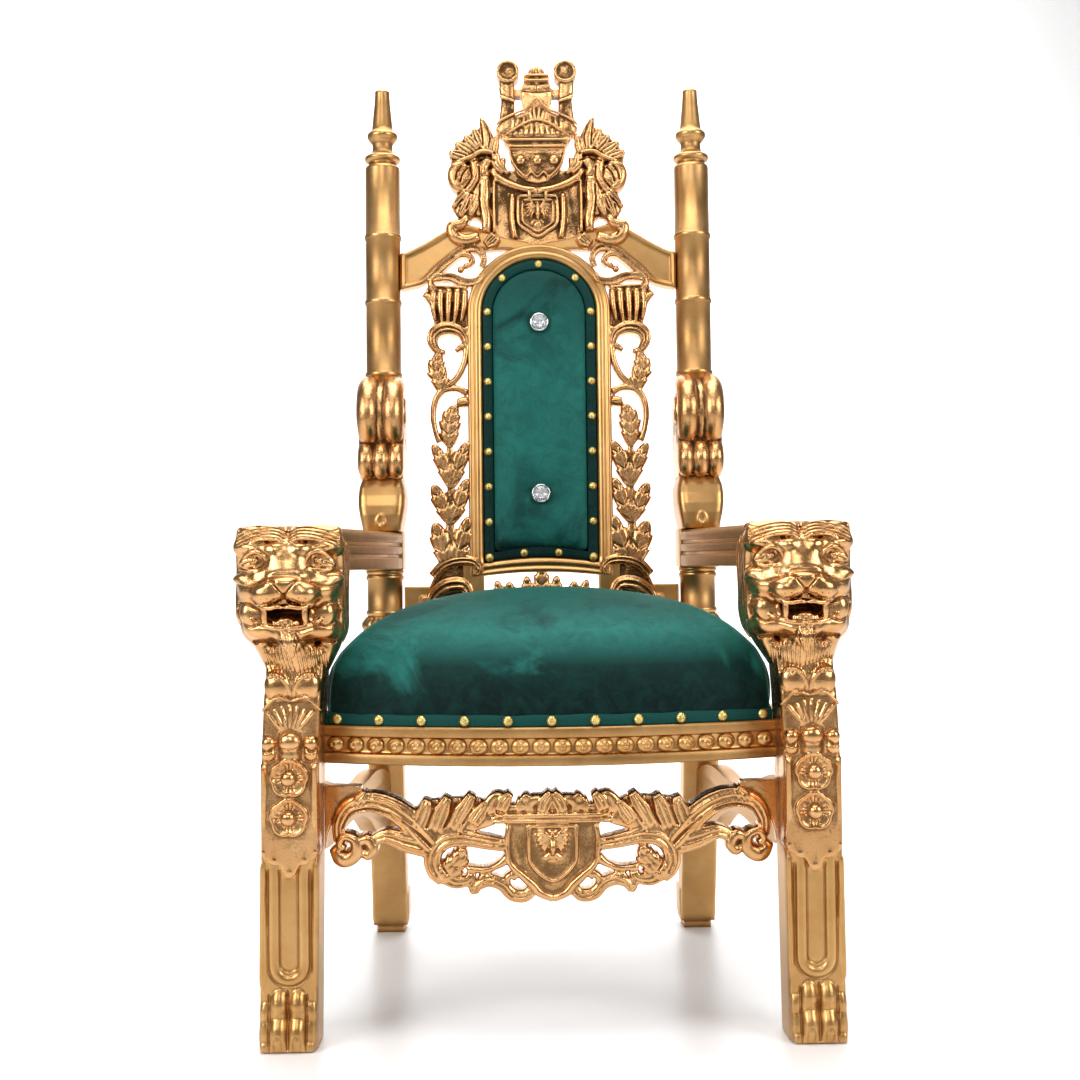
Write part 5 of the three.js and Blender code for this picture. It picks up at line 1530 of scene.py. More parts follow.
def apron_shapes():
    board = front, back = APRON_BOARD
    half = [stroke(*s, board) for s in APRON_STROKES]
    half += [leaf(points, width, proud, lobes, board) for points, width, proud, lobes in APRON_LEAVES]
    half += [stroke(points, widths, 6, "veined", board) for points, widths in APRON_FLAMES]
    half.append(slab([(154, 248), (140, 272), (116, 274), (88, 277), (72, 270), (66, 250), (100, 236),
                      (140, 228)], front + 3, back))
    half.append(slab([(257, 212), (257, 288), (214, 288), (216, 278), (234, 266), (247, 250), (254, 232)],
                     front + 3, back))
    middle = []
    outline = [(51, 247), (53, 227), (50, 201), (36, 187), (24, 177), (17, 169), (8, 163), (0, 161)]
    outline += [(-a, z) for a, z in reversed(outline[:-1])]
    middle.append(slab(outline, front - 1, back))
    rim = [(49, 246), (50.5, 227), (47.5, 203), (34, 189), (22, 178), (15, 170), (0, 163)]
    middle += [stroke(rim, [3, 3, 3.4, 4, 5, 5, 4], 5, "round", (front - 1, back)),
               stroke(flipped(rim), [3, 3, 3.4, 4, 5, 5, 4], 5, "round", (front - 1, back))]
    middle.append(slab([(-65, 247), (65, 247), (67, 252), (63, 258), (-63, 258), (-67, 252)], front - 3,
                       back))
    for z, half_width, radius in ((249.6, 64, 2.4), (255.8, 62, 2.4)):
        middle.append(tube([(-half_width, front - 4, z), (0, front - 4, z), (half_width, front - 4, z)],
                           [radius] * 3, 10))
    inner = [(26.5, 244), (26.5, 214), (24, 202), (14, 190), (0, 183)]
    edge = [(-a, z) for a, z in inner] + list(reversed(inner[:-1]))
    middle.append(stroke(edge, [2.2] * 4, 4.4, "round", (front - 1, back)))
    middle.append(stroke([(-27, 243.5), (0, 243.5), (27, 243.5)], [2.2] * 3, 4.4, "round",
                         (front - 1, back)))
    middle += bird(0, 222, 1.12, (front - 1, back))
    shapes = middle + both(half)
    bowed = []
    for points, faces in shapes:
        points = points.copy()
        points[:, 1] += -25 * np.clip(1 - (points[:, 0] / RAIL_REACH) ** 2, 0, 1)
        points[:, 0] = np.clip(points[:, 0], -RAIL_REACH - 0.5, RAIL_REACH + 0.5)
        bowed.append((points, faces))
    return bowed


class THRONE_OT_apron(bpy.types.Operator):
    """Carves the pierced apron under the seat"""

    bl_idname = "throne.apron"
    bl_label = "Apron"

    def execute(self, context):
        carving = context.scene.throne_carving
        make_piece("front_apron_carving", apron_shapes(), ["apron"], "leaf_gold", gold_leaf(),
                   voxel=carving.voxel / MM, most=min(100000, carving.most), uneven=0.3,
                   cuts=both_sides(APRON_CUTS))
        return {"FINISHED"}


# Carved back


def pad_outline(grow, arch_steps=40, foot_steps=16):
    """The pad's outline in x and w: an arched foot, straight sides and a round top."""
    half, rise, foot = PAD_HALF + grow, PAD_RISE + grow, PAD_FOOT_W - grow
    t = np.linspace(0, 1, foot_steps)
    line = [(half * (2 * s - 1), foot + 4 * PAD_FOOT_RISE * s * (1 - s)) for s in t]
    line += [(half, w) for w in np.linspace(foot, PAD_SPRING_W, 30)[1:-1]]
    line += [(half * math.cos(a), PAD_SPRING_W + rise * math.sin(a))
             for a in np.linspace(0, math.pi, arch_steps)]
    line += [(-half, w) for w in np.linspace(PAD_SPRING_W, foot, 30)[1:-1]]
    return line


def ring_board(inner, outer, profile):
    """A moulded frame: a profile of (share across, depth) carried round between two outlines."""
    inner, outer = np.array(inner), np.array(outer)
    rings = [[(*(i + (o - i) * s), d) for s, d in profile] for i, o in zip(inner, outer)]
    rings = [[(x, d, w) for x, w, d in ring] for ring in rings]
    m, n = len(rings), len(profile)
    points = np.array(rings, float).reshape(-1, 3)
    faces = []
    for i in range(m):
        for j in range(n):
            a, b = i * n + j, i * n + (j + 1) % n
            c, d = ((i + 1) % m) * n + (j + 1) % n, ((i + 1) % m) * n + j
            faces.append((a, b, c, d))
    return points, faces


SHOULDER_TOP = [(199, 428), (187, 431), (160, 445), (124, 466), (100, 470), (70, 460), (40, 452), (0, 450)]
SHOULDER_LOW = [(199, 376), (167, 384), (146, 404), (124, 421), (106, 432), (90, 438), (72, 432), (50, 434),
                (0, 430)]

SHOULDER_STROKES = [
    ([(160, 388), (146, 402), (131, 415), (112, 430), (97, 436), (84, 432), (78, 420), (82, 408)],
     [4, 5.5, 6, 6.5, 6.5, 6, 5, 4], 5, "hollow"),
    ([(120, 424), (104, 426), (94, 418), (100, 410)], [3.5, 4.5, 4, 3], 4, "round"),
    ([(152, 391), (128, 394), (106, 386), (88, 388), (79, 400)], [4, 6, 7, 6, 4], 5, "hollow"),
]

FAN_RIBS = [
    ([(149, 330), (152, 350), (151, 374)], [2.4, 4.6, 5.4]),
    ([(139, 327), (141.5, 350), (141, 376)], [2.4, 4.8, 5.4]),
    ([(131, 324), (130, 348), (129, 376)], [2.4, 4.8, 5.4]),
    ([(122, 326), (118.5, 348), (117, 376)], [2.4, 4.8, 5.4]),
    ([(112, 328), (107.5, 350), (106, 374)], [2.4, 4.4, 5]),
    ([(150, 352), (158, 364), (166, 368)], [5, 6, 3]),
    ([(148, 372), (154, 380), (157, 389)], [5, 6, 2.4]),
]

FOLIAGE_STROKES = [
    ([(135, 284), (146, 287), (153, 299), (151, 311), (141, 318), (125, 319), (110, 311), (104, 294)],
     [3, 6, 8, 9.5, 9.5, 8.5, 7, 5], 7, "reeded"),
    ([(104, 300), (108, 270), (119, 247), (137, 232), (148, 219), (153, 198), (151, 175), (145, 155)],
     [4, 4, 4.4, 4.6, 4.4, 4, 3.6, 4], 4, "round"),
    ([(104, 294), (112, 292), (120, 286)], [5, 4.5, 3], 4, "round"),
    ([(148, 219), (137, 230), (119, 232), (104, 226)], [4, 4.4, 4.4, 5], 4, "round"),
    ([(102, 214), (112, 212), (119, 213)], [6, 8, 5], 7, "round"),
    ([(155, -38), (140, -22), (118, -15), (97, -17), (88, -27), (94, -36)], [8, 8, 8, 8, 7, 5], 8,
     "reeded"),
    ([(160, -76), (150, -60), (132, -50), (112, -50), (104, -61), (108, -72)], [8, 10, 12, 12, 9, 6], 8,
     "reeded"),
    ([(162, -108), (146, -92), (128, -84), (112, -88), (104, -104)], [8, 10, 10, 9, 6], 6, "reeded"),
    ([(129, 100), (130, 150)], [4, 4], 2, "round"),
    ([(129, 44), (129, 100)], [4, 4], 2, "round"),
    ([(131, -30), (130, 50)], [9, 5], 2, "round"),
]

FOLIAGE_LEAVES = [
    ([(140, 226), (143, 244), (148, 262), (144, 284)], 13, 7, 4),
    ([(130, 148), (130, 168), (128, 188), (121, 208)], 14, 7, 4),
    ([(129, 90), (134, 110), (142, 130), (154, 152)], 11, 7, 3),
    ([(128, 90), (121, 112), (114, 134), (102, 156)], 11, 7, 3),
    ([(130, 38), (137, 56), (145, 74), (154, 94)], 12, 7, 3),
    ([(129, 38), (120, 60), (113, 82), (104, 102)], 11, 7, 3),
    ([(134, -26), (139, -4), (145, 18), (152, 40)], 14, 7, 3),
    ([(126, -26), (118, 0), (110, 24), (103, 48)], 13, 7, 3),
    ([(100, 322), (106, 312), (104, 300)], 6, 4, 2),
]


def side_foliage():
    board = (FRAME_FRONT + 3, 10)
    shapes = [stroke(*s, board) for s in FOLIAGE_STROKES]
    shapes += [leaf(points, width * 1.18, proud, lobes, board)
               for points, width, proud, lobes in FOLIAGE_LEAVES]
    shapes += [stroke(points, widths, 7, "round", board) for points, widths in FAN_RIBS]
    shapes += [stroke(*s, board) for s in SHOULDER_STROKES]
    for x, w, r in ((112, 405, 5.2), (104, 410, 4.6), (97, 414, 4)):
        shapes.append(ball((x, -6, w), (r, 7, r)))
    shapes.append(slab([(150, -30), (162, -56), (170, -84), (170, -114), (103, -114), (103, -20),
                        (130, -10)], FRAME_FRONT + 5, 10))
    shapes.append(slab([(103, 322), (150, 322), (154, 345), (158, 360), (167, 365), (158, 384), (150, 380),
                        (103, 380)], FRAME_FRONT + 5, 10))
    shapes.append(stroke([(103, 377), (128, 379), (152, 380)], [2.2] * 3, 8, "round", board))
    shapes.append(slab([(126, -30), (134, -30), (134, 150), (126, 150)], FRAME_FRONT + 6, 10))
    return shapes


class THRONE_OT_back(bpy.types.Operator):
    """Makes the arched back frame, its shoulders, foliage and palmette"""

    bl_idname = "throne.back"
    bl_label = "Back frame"

    def execute(self, context):
        carving = context.scene.throne_carving
        front, back = FRAME_FRONT, FRAME_BACK
        profile = [(0, front + 6), (0.1, front + 2.5), (0.2, front + 0.8), (0.34, front - 0.4),
                   (0.48, front + 0.4), (0.55, front + 2.6), (0.62, front + 2.8), (0.7, front + 0.6),
                   (0.82, front - 0.6), (0.94, front + 0.8), (1, front + 3), (1, back), (0, back)]
        painted("back_frame_moulding", [ring_board(pad_outline(0), pad_outline(STILE_WIDTH), profile)],
                ["back_frame"], matrix=BACK_MATRIX)
        plates = []
        outline = SHOULDER_TOP + [(x, w) for x, w in reversed(SHOULDER_LOW)]
        plates.append(slab(outline, front + 4, back - 4))
        rim = [(196, 426), (186, 428), (160, 441), (124, 462), (102, 466), (84, 462)]
        plates.append(stroke(rim, [3.4] * 3, 4.5, "round", (front + 4, back - 4), taper=False))
        low_rim = [(196, 379), (168, 387), (148, 406), (126, 424), (108, 436), (92, 444)]
        plates.append(stroke(low_rim, [3.4] * 3, 4.5, "round", (front + 4, back - 4), taper=False))
        plates.append(tube([(194, front + 2, 378), (194, front + 2, 402), (194, front + 2, 428)], [2.6] * 3,
                           8))
        rails = [slab([(-172, -115), (172, -115), (172, -66), (-172, -66)], front, back)]
        rails.append(slab([(160, -84), (196, -84), (196, -51), (160, -51)], front + 3, back - 3))
        rails.append(slab([(-196, -84), (-160, -84), (-160, -51), (-196, -51)], front + 3, back - 3))
        inner = [(82, w) for w in (-70, -46, -34)]
        rails.append(slab([(78, -115), (112, -115), (112, 0), (103, 0), (92, -26), *reversed(inner)],
                          front + 1, back))
        rails.append(slab([(-x, w) for x, w in [(78, -115), (112, -115), (112, 0), (103, 0), (92, -26),
            *reversed(inner)]], front + 1, back))
        painted("back_frame_shoulders_and_rails", both(plates) + rails, ["back_frame"], voxel=1.5,
                most=40000, matrix=BACK_MATRIX)
        right = make_piece("back_foliage_right", side_foliage(), ["back_frame"], "leaf_gold", aged_and_shaded_leaf(),
                           voxel=carving.voxel / MM, most=min(55000, carving.most), matrix=BACK_MATRIX,
                           uneven=0.3)
        mirror_piece(right, "back_foliage_left", ["back_frame"], "leaf_gold")
        board = (front + 6, back - 6)
        palmette = [leaf([(0, -80), (0, -52), (0, -26)], 14, 5, 4, board),
                    slab([(-78, -70), (78, -70), (70, -56), (-70, -56)], front + 8, back - 6)]
        for x, top, width in ((20, -38, 10), (44, -46, 10), (60, -44, 9)):
            for side in (-1, 1):
                palmette.append(leaf([(side * x * 0.9, -80), (side * x, -60), (side * x * 1.08, top)],
                                     width, 5, 3, board))
        make_piece("back_palmette", palmette, ["back_frame"], "leaf_gold", aged_and_shaded_leaf(), voxel=1.2,
                   most=14000, matrix=BACK_MATRIX)
        return {"FINISHED"}


# Crest

CREST_STROKES = [
    ([(61, 573), (81, 574), (94, 567), (110, 561), (120, 560)], [3.4, 4, 4.4, 4.4, 3], 9, "round"),
    ([(74, 574), (72, 592), (76, 609), (81.5, 627)], [9, 10, 7.5, 1.6], 8, "round"),
    ([(80, 580), (86, 594), (92, 609)], [8, 9, 3], 7, "veined"),
    ([(85, 577), (96, 588), (104, 599)], [8, 9, 3], 7, "veined"),
    ([(94, 572), (107, 580), (118, 588)], [8, 9, 3], 7, "veined"),
    ([(102, 566), (115, 570), (127, 574)], [7, 8, 3], 7, "veined"),
    ([(63, 572), (61, 584), (57, 600)], [6, 7, 2.5], 7, "veined"),
    ([(68, 565), (78, 552), (74, 538)], [6, 8, 6], 6, "round"),
    ([(92, 564), (88, 546), (93, 530), (103, 515)], [7, 9, 9, 5], 8, "round"),
    ([(102, 557), (116, 551), (120, 540), (116, 527), (106, 519)], [8, 9.5, 10, 9, 6], 9, "round"),
    ([(100, 516), (113, 503), (123, 493)], [8, 8, 2.4], 7, "veined"),
    ([(94, 513), (104, 494), (113, 479)], [8, 8, 3], 8, "veined"),
    ([(86, 512), (92, 494), (97, 480)], [7, 7, 3], 7, "veined"),
    ([(77, 540), (76, 520), (78, 500), (74, 480), (75, 458)], [7, 8.5, 8.5, 8, 6], 7, "round"),
    ([(101, 482), (110, 470), (123, 466), (120, 453), (104, 446), (84, 452)], [5, 8, 9, 9.5, 9, 7], 8,
     "round"),
    ([(60, 452), (67, 444), (76, 438)], [9, 11, 7], 8, "veined"),
    ([(66, 550), (58, 538), (44, 529), (22, 521), (0, 518)], [4, 5.5, 5.5, 5, 5], 6, "round"),
    ([(60, 572), (58, 556), (48, 544)], [6, 8, 5], 7, "veined"),
    ([(48, 566), (50, 552), (42, 542)], [3, 5, 3], 6, "round"),
    ([(33, 449), (37, 480), (36.5, 514)], [4.4, 4, 4], 6, "round"),
    ([(62.6, 458), (63, 500), (62.6, 534)], [2.4] * 3, 7, "round"),
    ([(64, 534), (36, 528)], [3, 3], 7, "round"),
    ([(12, 518), (12, 512), (11.5, 505)], [3.2, 3.4, 2.6], 7, "round"),
]

CREST_CUTS = [
    ([(62, 561), (76, 566), (92, 560)], 2, 3.4),
    ([(100, 551), (108, 541), (111, 530)], 1.9, 3.2),
    ([(109, 553), (116, 543), (118, 532)], 1.9, 3.2),
    ([(97, 552), (95, 536), (104, 522)], 1.9, 3.2),
    ([(84, 552), (84, 534), (92, 519)], 1.9, 3.2),
    ([(83, 526), (84, 505), (82, 486)], 1.8, 3),
    ([(70, 530), (69, 500), (67, 470)], 1.8, 3.4),
    ([(98, 505), (103, 490)], 1.6, 2.6),
    ([(108, 505), (116, 495)], 1.6, 2.6),
    ([(108, 460), (116, 458), (113, 451)], 1.6, 2.8),
    ([(62, 449), (70, 442)], 1.4, 2.4),
    ([(78, 583), (79, 600), (81, 614)], 1.6, 2.6),
    ([(70, 580), (68, 596), (72, 610)], 1.6, 2.6),
    ([(0, 671), (0, 665)], 1.6, 1.6),
    ([(-20, 664), (0, 663), (20, 664)], 1.4, 1.6),
]


def crest_shapes():
    board = front, back = CREST_FRONT, CREST_BACK
    half = [stroke(*s, board) for s in CREST_STROKES]
    half.append(slab([(61, 570), (64, 588), (70, 604), (80, 614), (92, 607), (104, 598), (116, 588),
                      (125, 574), (125, 562), (127, 546), (125, 531), (116, 517), (121, 496), (113, 482),
                      (103, 486), (96, 481), (88, 479), (80, 474), (79, 462), (70, 448), (60, 450),
                      (62, 535)], front + 4, back))
    half.append(stroke([(44, 600), (43, 618), (42, 636), (41.5, 652), (43, 668), (43, 684)],
                       [12, 12, 10.5, 9.6, 11, 10], 5, "round", (front + 1, back)))
    half.append(tube([(31, front - 3, 648), (42, front - 6, 650), (53, front - 3, 656)], [2.6] * 3, 8))
    half += [ball((106, front + 1, 538), (18, 8, 20)), ball((85, front + 2, 520), (11, 8, 38)),
             ball((104, front + 2, 493), (17, 7, 19))]
    half.append(disc((HORN_X, HORN_W), 16.5, front - 5, back))
    half.append(tube([(HORN_X + 14 * math.cos(a), front - 5, HORN_W + 14 * math.sin(a))
                      for a in np.linspace(0, 2 * math.pi, 25)], [1.6] * 3, 8))
    half.append(ball((HORN_X, front - 5, HORN_W), (3.2, 2.6, 3.2)))
    half.append(slab([(18, 659), (34, 659), (34, 668), (18, 668)], front + 4, back))
    half.append(ball((24, front - 6, 561), (7, 4.5, 7)))

    def sides(points):
        return points + [(-x, w) for x, w in reversed(points) if x > 0]

    middle = [
        slab(sides([(0, 434), (14, 442), (40, 447), (56, 451), (64, 460), (64, 535), (40, 548), (0, 550)]),
             front + 2, back),
        slab(sides([(0, 528), (14, 531), (28, 541), (38, 560), (40.5, 580), (0, 580)]), front - 3, back),
        slab(sides([(0, 579.5), (40, 579.5), (48.8, 592.5), (0, 592.5)]), front - 5, back),
        slab(sides([(0, 588), (47.5, 592), (46, 599), (0, 619)]), front - 5, back),
        slab(sides([(0, 596), (50, 597), (59.8, 609), (52.5, 618), (28.5, 630), (16.6, 635), (0, 652)]),
             front - 1, back),
        slab(sides([(0, 640), (16, 636), (22, 650), (22, 668), (18, 678), (0, 678)]), front + 1, back),
        slab(sides([(0, 677), (18.4, 677), (18.4, 686), (0, 686)]), front - 2, back),
        ball((0, 0, 687), (14, 17, 19)),
        ball((0, front - 6, 561), (7, 4.5, 7)),
    ]
    lines = [
        ([(-47.9, 598), (0, 620), (47.9, 598)], 2),
        ([(-59, 611), (-52, 619), (-28, 631), (-16, 636), (0, 653.5)], 2),
        ([(59, 611), (52, 619), (28, 631), (16, 636), (0, 653.5)], 2),
        ([(-48, 591), (0, 591), (48, 591)], 2.2), ([(-42, 581.5), (0, 581.5), (42, 581.5)], 2.2),
        ([(-40, 574), (-34, 556), (-22, 541), (-13, 534)], 1.8),
        ([(40, 574), (34, 556), (22, 541), (13, 534)], 1.8),
        ([(-19, 534), (-9, 544), (0, 537), (9, 544), (19, 534)], 1.6),
        ([(-18, 678), (0, 678), (18, 678)], 1.8), ([(-18, 685.5), (0, 685.5), (18, 685.5)], 1.8),
        ([(-20, 664), (0, 663), (20, 664)], 1),
    ]
    for points, radius in lines:
        middle.append(tube([(x, front - 5.5, w) for x, w in points], [radius] * 3, 8))
    for x in range(-5, 6):
        middle.append(tube([(x * 8, front - 5, 599), (x * 7.4, front - 5.6, 616 - abs(x) * 3.4)], [1.3, 1],
                           6))
        if abs(x) > 1:
            middle.append(tube([(x * 9.6, front - 1.5, 620 - abs(x) * 2.4),
                                (x * 9.2, front - 2, 630 - abs(x) * 2.2)], [1.4, 1.1], 6))
    for x in (-10, -4, 4, 10):
        middle.append(tube([(x * 0.6, front - 1, 622), (x, front - 2, 643 - abs(x) * 0.9)], [1.6, 1], 6))
    for a in (-0.9, -0.45, 0, 0.45, 0.9):
        middle.append(tube([(11 * math.sin(a), front - 3.6 + abs(a) * 2, 686),
                            (9 * math.sin(a), front - 3 + abs(a) * 3, 697), (3 * math.sin(a), -6, 705)],
                            [1.6, 1.5, 1], 6))
    shield = [(28, 510), (28.5, 480), (26, 468), (14, 459), (0, 451)]
    for scale, radius in ((1, 2.4), (0.78, 1.5)):
        line = [(x * scale, 484 + (w - 484) * scale) for x, w in shield]
        middle.append(tube([(x, front - 1.5, w) for x, w in line + [(-x, w)
            for x, w in reversed(line[:-1])]], [radius] * 3, 8))
        middle.append(tube([(-line[0][0], front - 1.5, line[0][1]), (0, front - 1.5, line[0][1]),
                            (line[0][0], front - 1.5, line[0][1])], [radius] * 3, 8))
    middle += bird(0, 486, 1.12, (front + 2, back))
    return middle + both(half)


class THRONE_OT_crest(bpy.types.Operator):
    """Carves the crowned crest over the back"""

    bl_idname = "throne.crest"
    bl_label = "Crest"

    def execute(self, context):
        carving = context.scene.throne_carving
        make_piece("crest_carving", crest_shapes(), ["crest"], "leaf_gold", aged_and_shaded_leaf(), voxel=1,
                   most=carving.most, matrix=BACK_MATRIX, uneven=0.3, cuts=both_sides(CREST_CUTS))
        return {"FINISHED"}


# Upholstery


def seat_line(inset, share=1, count=200):
    """The seat's plan: a bowed front, sides that draw in to the back and soft corners."""
    front_half = RAIL_REACH + 1 - inset
    rear_half = POST_X - BLOCK_HALF - 4 - inset
    front_y = RAIL_END_Y + 4 + inset
    rear_y = LOWER_POST_Y - BLOCK_HALF - 6 - inset
    middle = (front_y + rear_y) / 2
    corner = [(x, front_y + bow_at(x, RAIL_BOW)) for x in np.linspace(-front_half, front_half, 60)]
    corner += [(front_half + 3, front_y + 12), (front_half + 3, front_y + 48),
               (front_half * 0.45 + rear_half * 0.55 + 6, middle + 70)]
    corner += [(x, rear_y) for x in np.linspace(rear_half, -rear_half, 16)]
    corner += [(-front_half * 0.45 - rear_half * 0.55 - 6, middle + 70), (-front_half - 3, front_y + 48),
               (-front_half - 3, front_y + 12)]
    p = np.array(corner + corner[:1])
    run = np.r_[0, np.cumsum(np.linalg.norm(np.diff(p, axis=0), axis=1))]
    even = np.linspace(0, run[-1], count, endpoint=False)
    line = np.stack([np.interp(even, run, p[:, k]) for k in range(2)], axis=1)
    line = 0.5 * line + 0.25 * (np.roll(line, 1, axis=0) + np.roll(line, -1, axis=0))
    return [(x * share, middle + (y - middle) * share) for x, y in line]


def cushion_shape():
    """A crowned seat: its sides swell over the band before they draw in to the crown."""
    base = RAIL_TOP_Z + JOINT_GAP
    rings = [[(x, y, base) for x, y in seat_line(5)], [(x, y, base + 4) for x, y in seat_line(4.4)]]
    top = base + 6
    crown = RAIL_TOP_Z + CUSHION_CROWN - top
    for s in np.r_[np.linspace(1, 0.9, 9), np.linspace(0.87, 0.04, 26)]:
        rise = (1 - s**2.9) ** (1 / 2.5)
        swell = 1 + 0.03 * math.sin(math.pi * min(1, rise * 1.5 + 0.12))
        rings.append([(x * swell, y, top + crown * rise) for x, y in seat_line(1, s)])
    return loft(rings)


def stuffed(piece, tacked, cap, pressure):
    """Fills a cover until its cloth pulls tight. Tacked points stay, and none moves past the cap."""
    start = mesh_arrays(piece.data)[0]
    group = piece.vertex_groups.new(name="tacked")
    group.add([int(i) for i in np.where(tacked(start / MM))[0]], 1, "REPLACE")
    cloth = piece.modifiers.new("Cloth", "CLOTH")
    cloth.point_cache.frame_start = 1
    cloth.point_cache.frame_end = 16
    cloth.settings.quality = 4
    cloth.settings.mass = 0.25
    cloth.settings.use_pressure = True
    cloth.settings.uniform_pressure_force = pressure
    cloth.settings.effector_weights.gravity = 0
    cloth.settings.vertex_group_mass = "tacked"
    scene = bpy.context.scene
    for step in range(1, 17):
        scene.frame_set(step)
    ready = piece.evaluated_get(bpy.context.evaluated_depsgraph_get())
    mesh = bpy.data.meshes.new_from_object(ready)
    swelled = mesh_arrays(mesh)[0]
    bpy.data.meshes.remove(mesh)
    piece.modifiers.clear()
    piece.vertex_groups.clear()
    scene.frame_set(1)
    move = swelled - start
    far = np.linalg.norm(move, axis=1)
    move *= np.minimum(1, cap * MM / np.maximum(far, 1e-9))[:, None]
    move_points(piece.data, start + move)
    soften(piece.data, 3)


def clear_of_legs(points):
    """Draws the cushion's corners in beside the lions' necks and legs."""
    for side in (-1, 1):
        z = points[:, 2]
        leg = leg_x(z)
        half = np.interp(z, [300, HEAD_BASE_Z, 430, 465, 500], [32.8, 32.8, 38, 52, 58])
        near = points[:, 1] < LEG_BACK_Y + 22
        limit = leg - half - 0.8
        over = near & (side * points[:, 0] > limit)
        points[over, 0] = side * limit[over]
    return points


def band_shape(height, thickness):
    """The cloth band nailed round the seat's foot, a little uneven along its top."""
    outer, inner = seat_line(-0.6), seat_line(thickness)
    base = RAIL_TOP_Z + JOINT_GAP
    count = len(outer)
    profile = [(0, base), (0.05, base + 2), (0, base + height * 0.5), (0.12, base + height - 2),
               (0.5, base + height), (1, base + height - 1), (1, base)]
    points, faces = [], []
    for i in range(count):
        ripple = 0.5 * math.sin(i * 0.9) + 0.35 * math.sin(i * 0.37 + 1)
        for s, z in profile:
            x = outer[i][0] + (inner[i][0] - outer[i][0]) * s
            y = outer[i][1] + (inner[i][1] - outer[i][1]) * s
            points.append((x, y, z + (ripple if z > base + 3 else 0)))
    n = len(profile)
    for i in range(count):
        for j in range(n):
            faces.append((i * n + j, i * n + (j + 1) % n, ((i + 1) % count) * n + (j + 1) % n,
                          ((i + 1) % count) * n + j))
    return np.array(points), faces


class THRONE_OT_seat(bpy.types.Operator):
    """Upholsters the domed seat, its band and the dust cloth underneath"""

    bl_idname = "throne.seat"
    bl_label = "Seat"

    def execute(self, context):
        points, faces = cushion_shape()
        cushion = make_piece("seat_cushion_velvet", [fused([(clear_of_legs(points), faces)], 8, 2)],
                             ["seat_cushion"], "velvet", velvet(), recess=False)
        stuffed(cushion, lambda p: p[:, 2] < RAIL_TOP_Z + 16, 7, 4)
        points = mesh_arrays(cushion.data)[0]
        points[:, 2] = np.maximum(points[:, 2], (RAIL_TOP_Z + JOINT_GAP) * MM)
        move_points(cushion.data, clear_of_legs(points / MM) * MM)
        applied(cushion, "SUBSURF", levels=1)
        cushion.data.polygons.foreach_set("use_smooth", np.ones(len(cushion.data.polygons), bool))
        points, faces = band_shape(BAND_HEIGHT, 4)
        make_piece("seat_band_velvet", [(clear_of_legs(points), faces)], ["seat_band"], "velvet",
                   velvet("Band velvet"), recess=False)
        z = RAIL_TOP_Z - RAIL_HEIGHT - JOINT_GAP
        line = seat_line(10)
        cloth = make_piece("dust_cloth_sheet", [loft([[(x, y, z - 1.6) for x, y in line],
            [(x, y, z - 0.2) for x, y in line]])], ["dust_cover"], "dust_cloth",
            bpy.data.materials.get("Dust cloth") or dust_finish(), recess=False)
        return {"FINISHED"}


def pad_rings(steps=24):
    """The raised middle of the back pad, before the buttons pull it in."""
    face = FRAME_FRONT + 3
    edge = PAD_FLANGE + 0.6
    rings = []
    for inset, depth in ((edge, face + 14), (edge, face + 2), (edge + 0.6, face - 4),
                         (edge + 3, face - 6.5)):
        rings.append([(x, depth, w) for x, w in pad_outline(-inset)])
    for k in range(1, steps):
        s = k / steps
        depth = face - 6.5 - 7.5 * math.sin(0.5 * math.pi * min(1, s * 1.5))
        rings.append([(x, depth, w) for x, w in pad_outline(-edge - 3 - (PAD_HALF - edge - 3.5) * s)])
    return loft(rings)


def buttoned(points):
    """Pulls the pad in round each button, with short creases running from it."""
    for w0 in BUTTON_HEIGHTS:
        across, up = points[:, 0], points[:, 2] - w0
        away = np.hypot(across, up)
        turn = np.arctan2(up, across)
        pull = 7.5 * np.exp(-((away / 15) ** 2)) + 1.1 * np.cos(5 * turn
            + w0) * np.exp(-(((away - 22) / 14) ** 2))
        points[:, 1] += pull * (points[:, 1] < FRAME_FRONT)
    return points


class THRONE_OT_back_pad(bpy.types.Operator):
    """Upholsters the back pad, its nailed flange and the cloth behind"""

    bl_idname = "throne.back_pad"
    bl_label = "Back pad"

    def execute(self, context):
        points, faces = fused([pad_rings()], 5, 3)
        pad = make_piece("back_pad_velvet", [(buttoned(points), faces)], ["back_pad"], "velvet",
                         velvet("Back velvet"), matrix=BACK_MATRIX, recess=False)
        applied(pad, "SUBSURF", levels=1)
        pad.data.polygons.foreach_set("use_smooth", np.ones(len(pad.data.polygons), bool))
        face = FRAME_FRONT + 3
        profile = [(0, face + 1.5), (0.08, face - 1), (0.3, face - 0.2), (0.55, face - 1.2),
                   (0.85, face - 0.4), (1, face + 0.5), (1, face + 5), (0, face + 5)]
        make_piece("back_flange_velvet", [ring_board(pad_outline(-PAD_FLANGE), pad_outline(-JOINT_GAP),
            profile)], ["back_band"], "velvet", velvet("Flange velvet"), matrix=BACK_MATRIX, recess=False)
        behind = FRAME_BACK + JOINT_GAP
        rings = [[(x, d, w) for x, w in pad_outline(grow)]
                 for grow, d in ((6, behind), (6, behind + 2), (4.5, behind + 3), (-20, behind + 3),
                                 (-60, behind + 3))]
        make_piece("rear_cover_velvet", [loft(rings)], ["rear_cover"], "velvet", velvet("Back velvet"),
                   matrix=BACK_MATRIX, recess=False)
        return {"FINISHED"}


# Nails and buttons


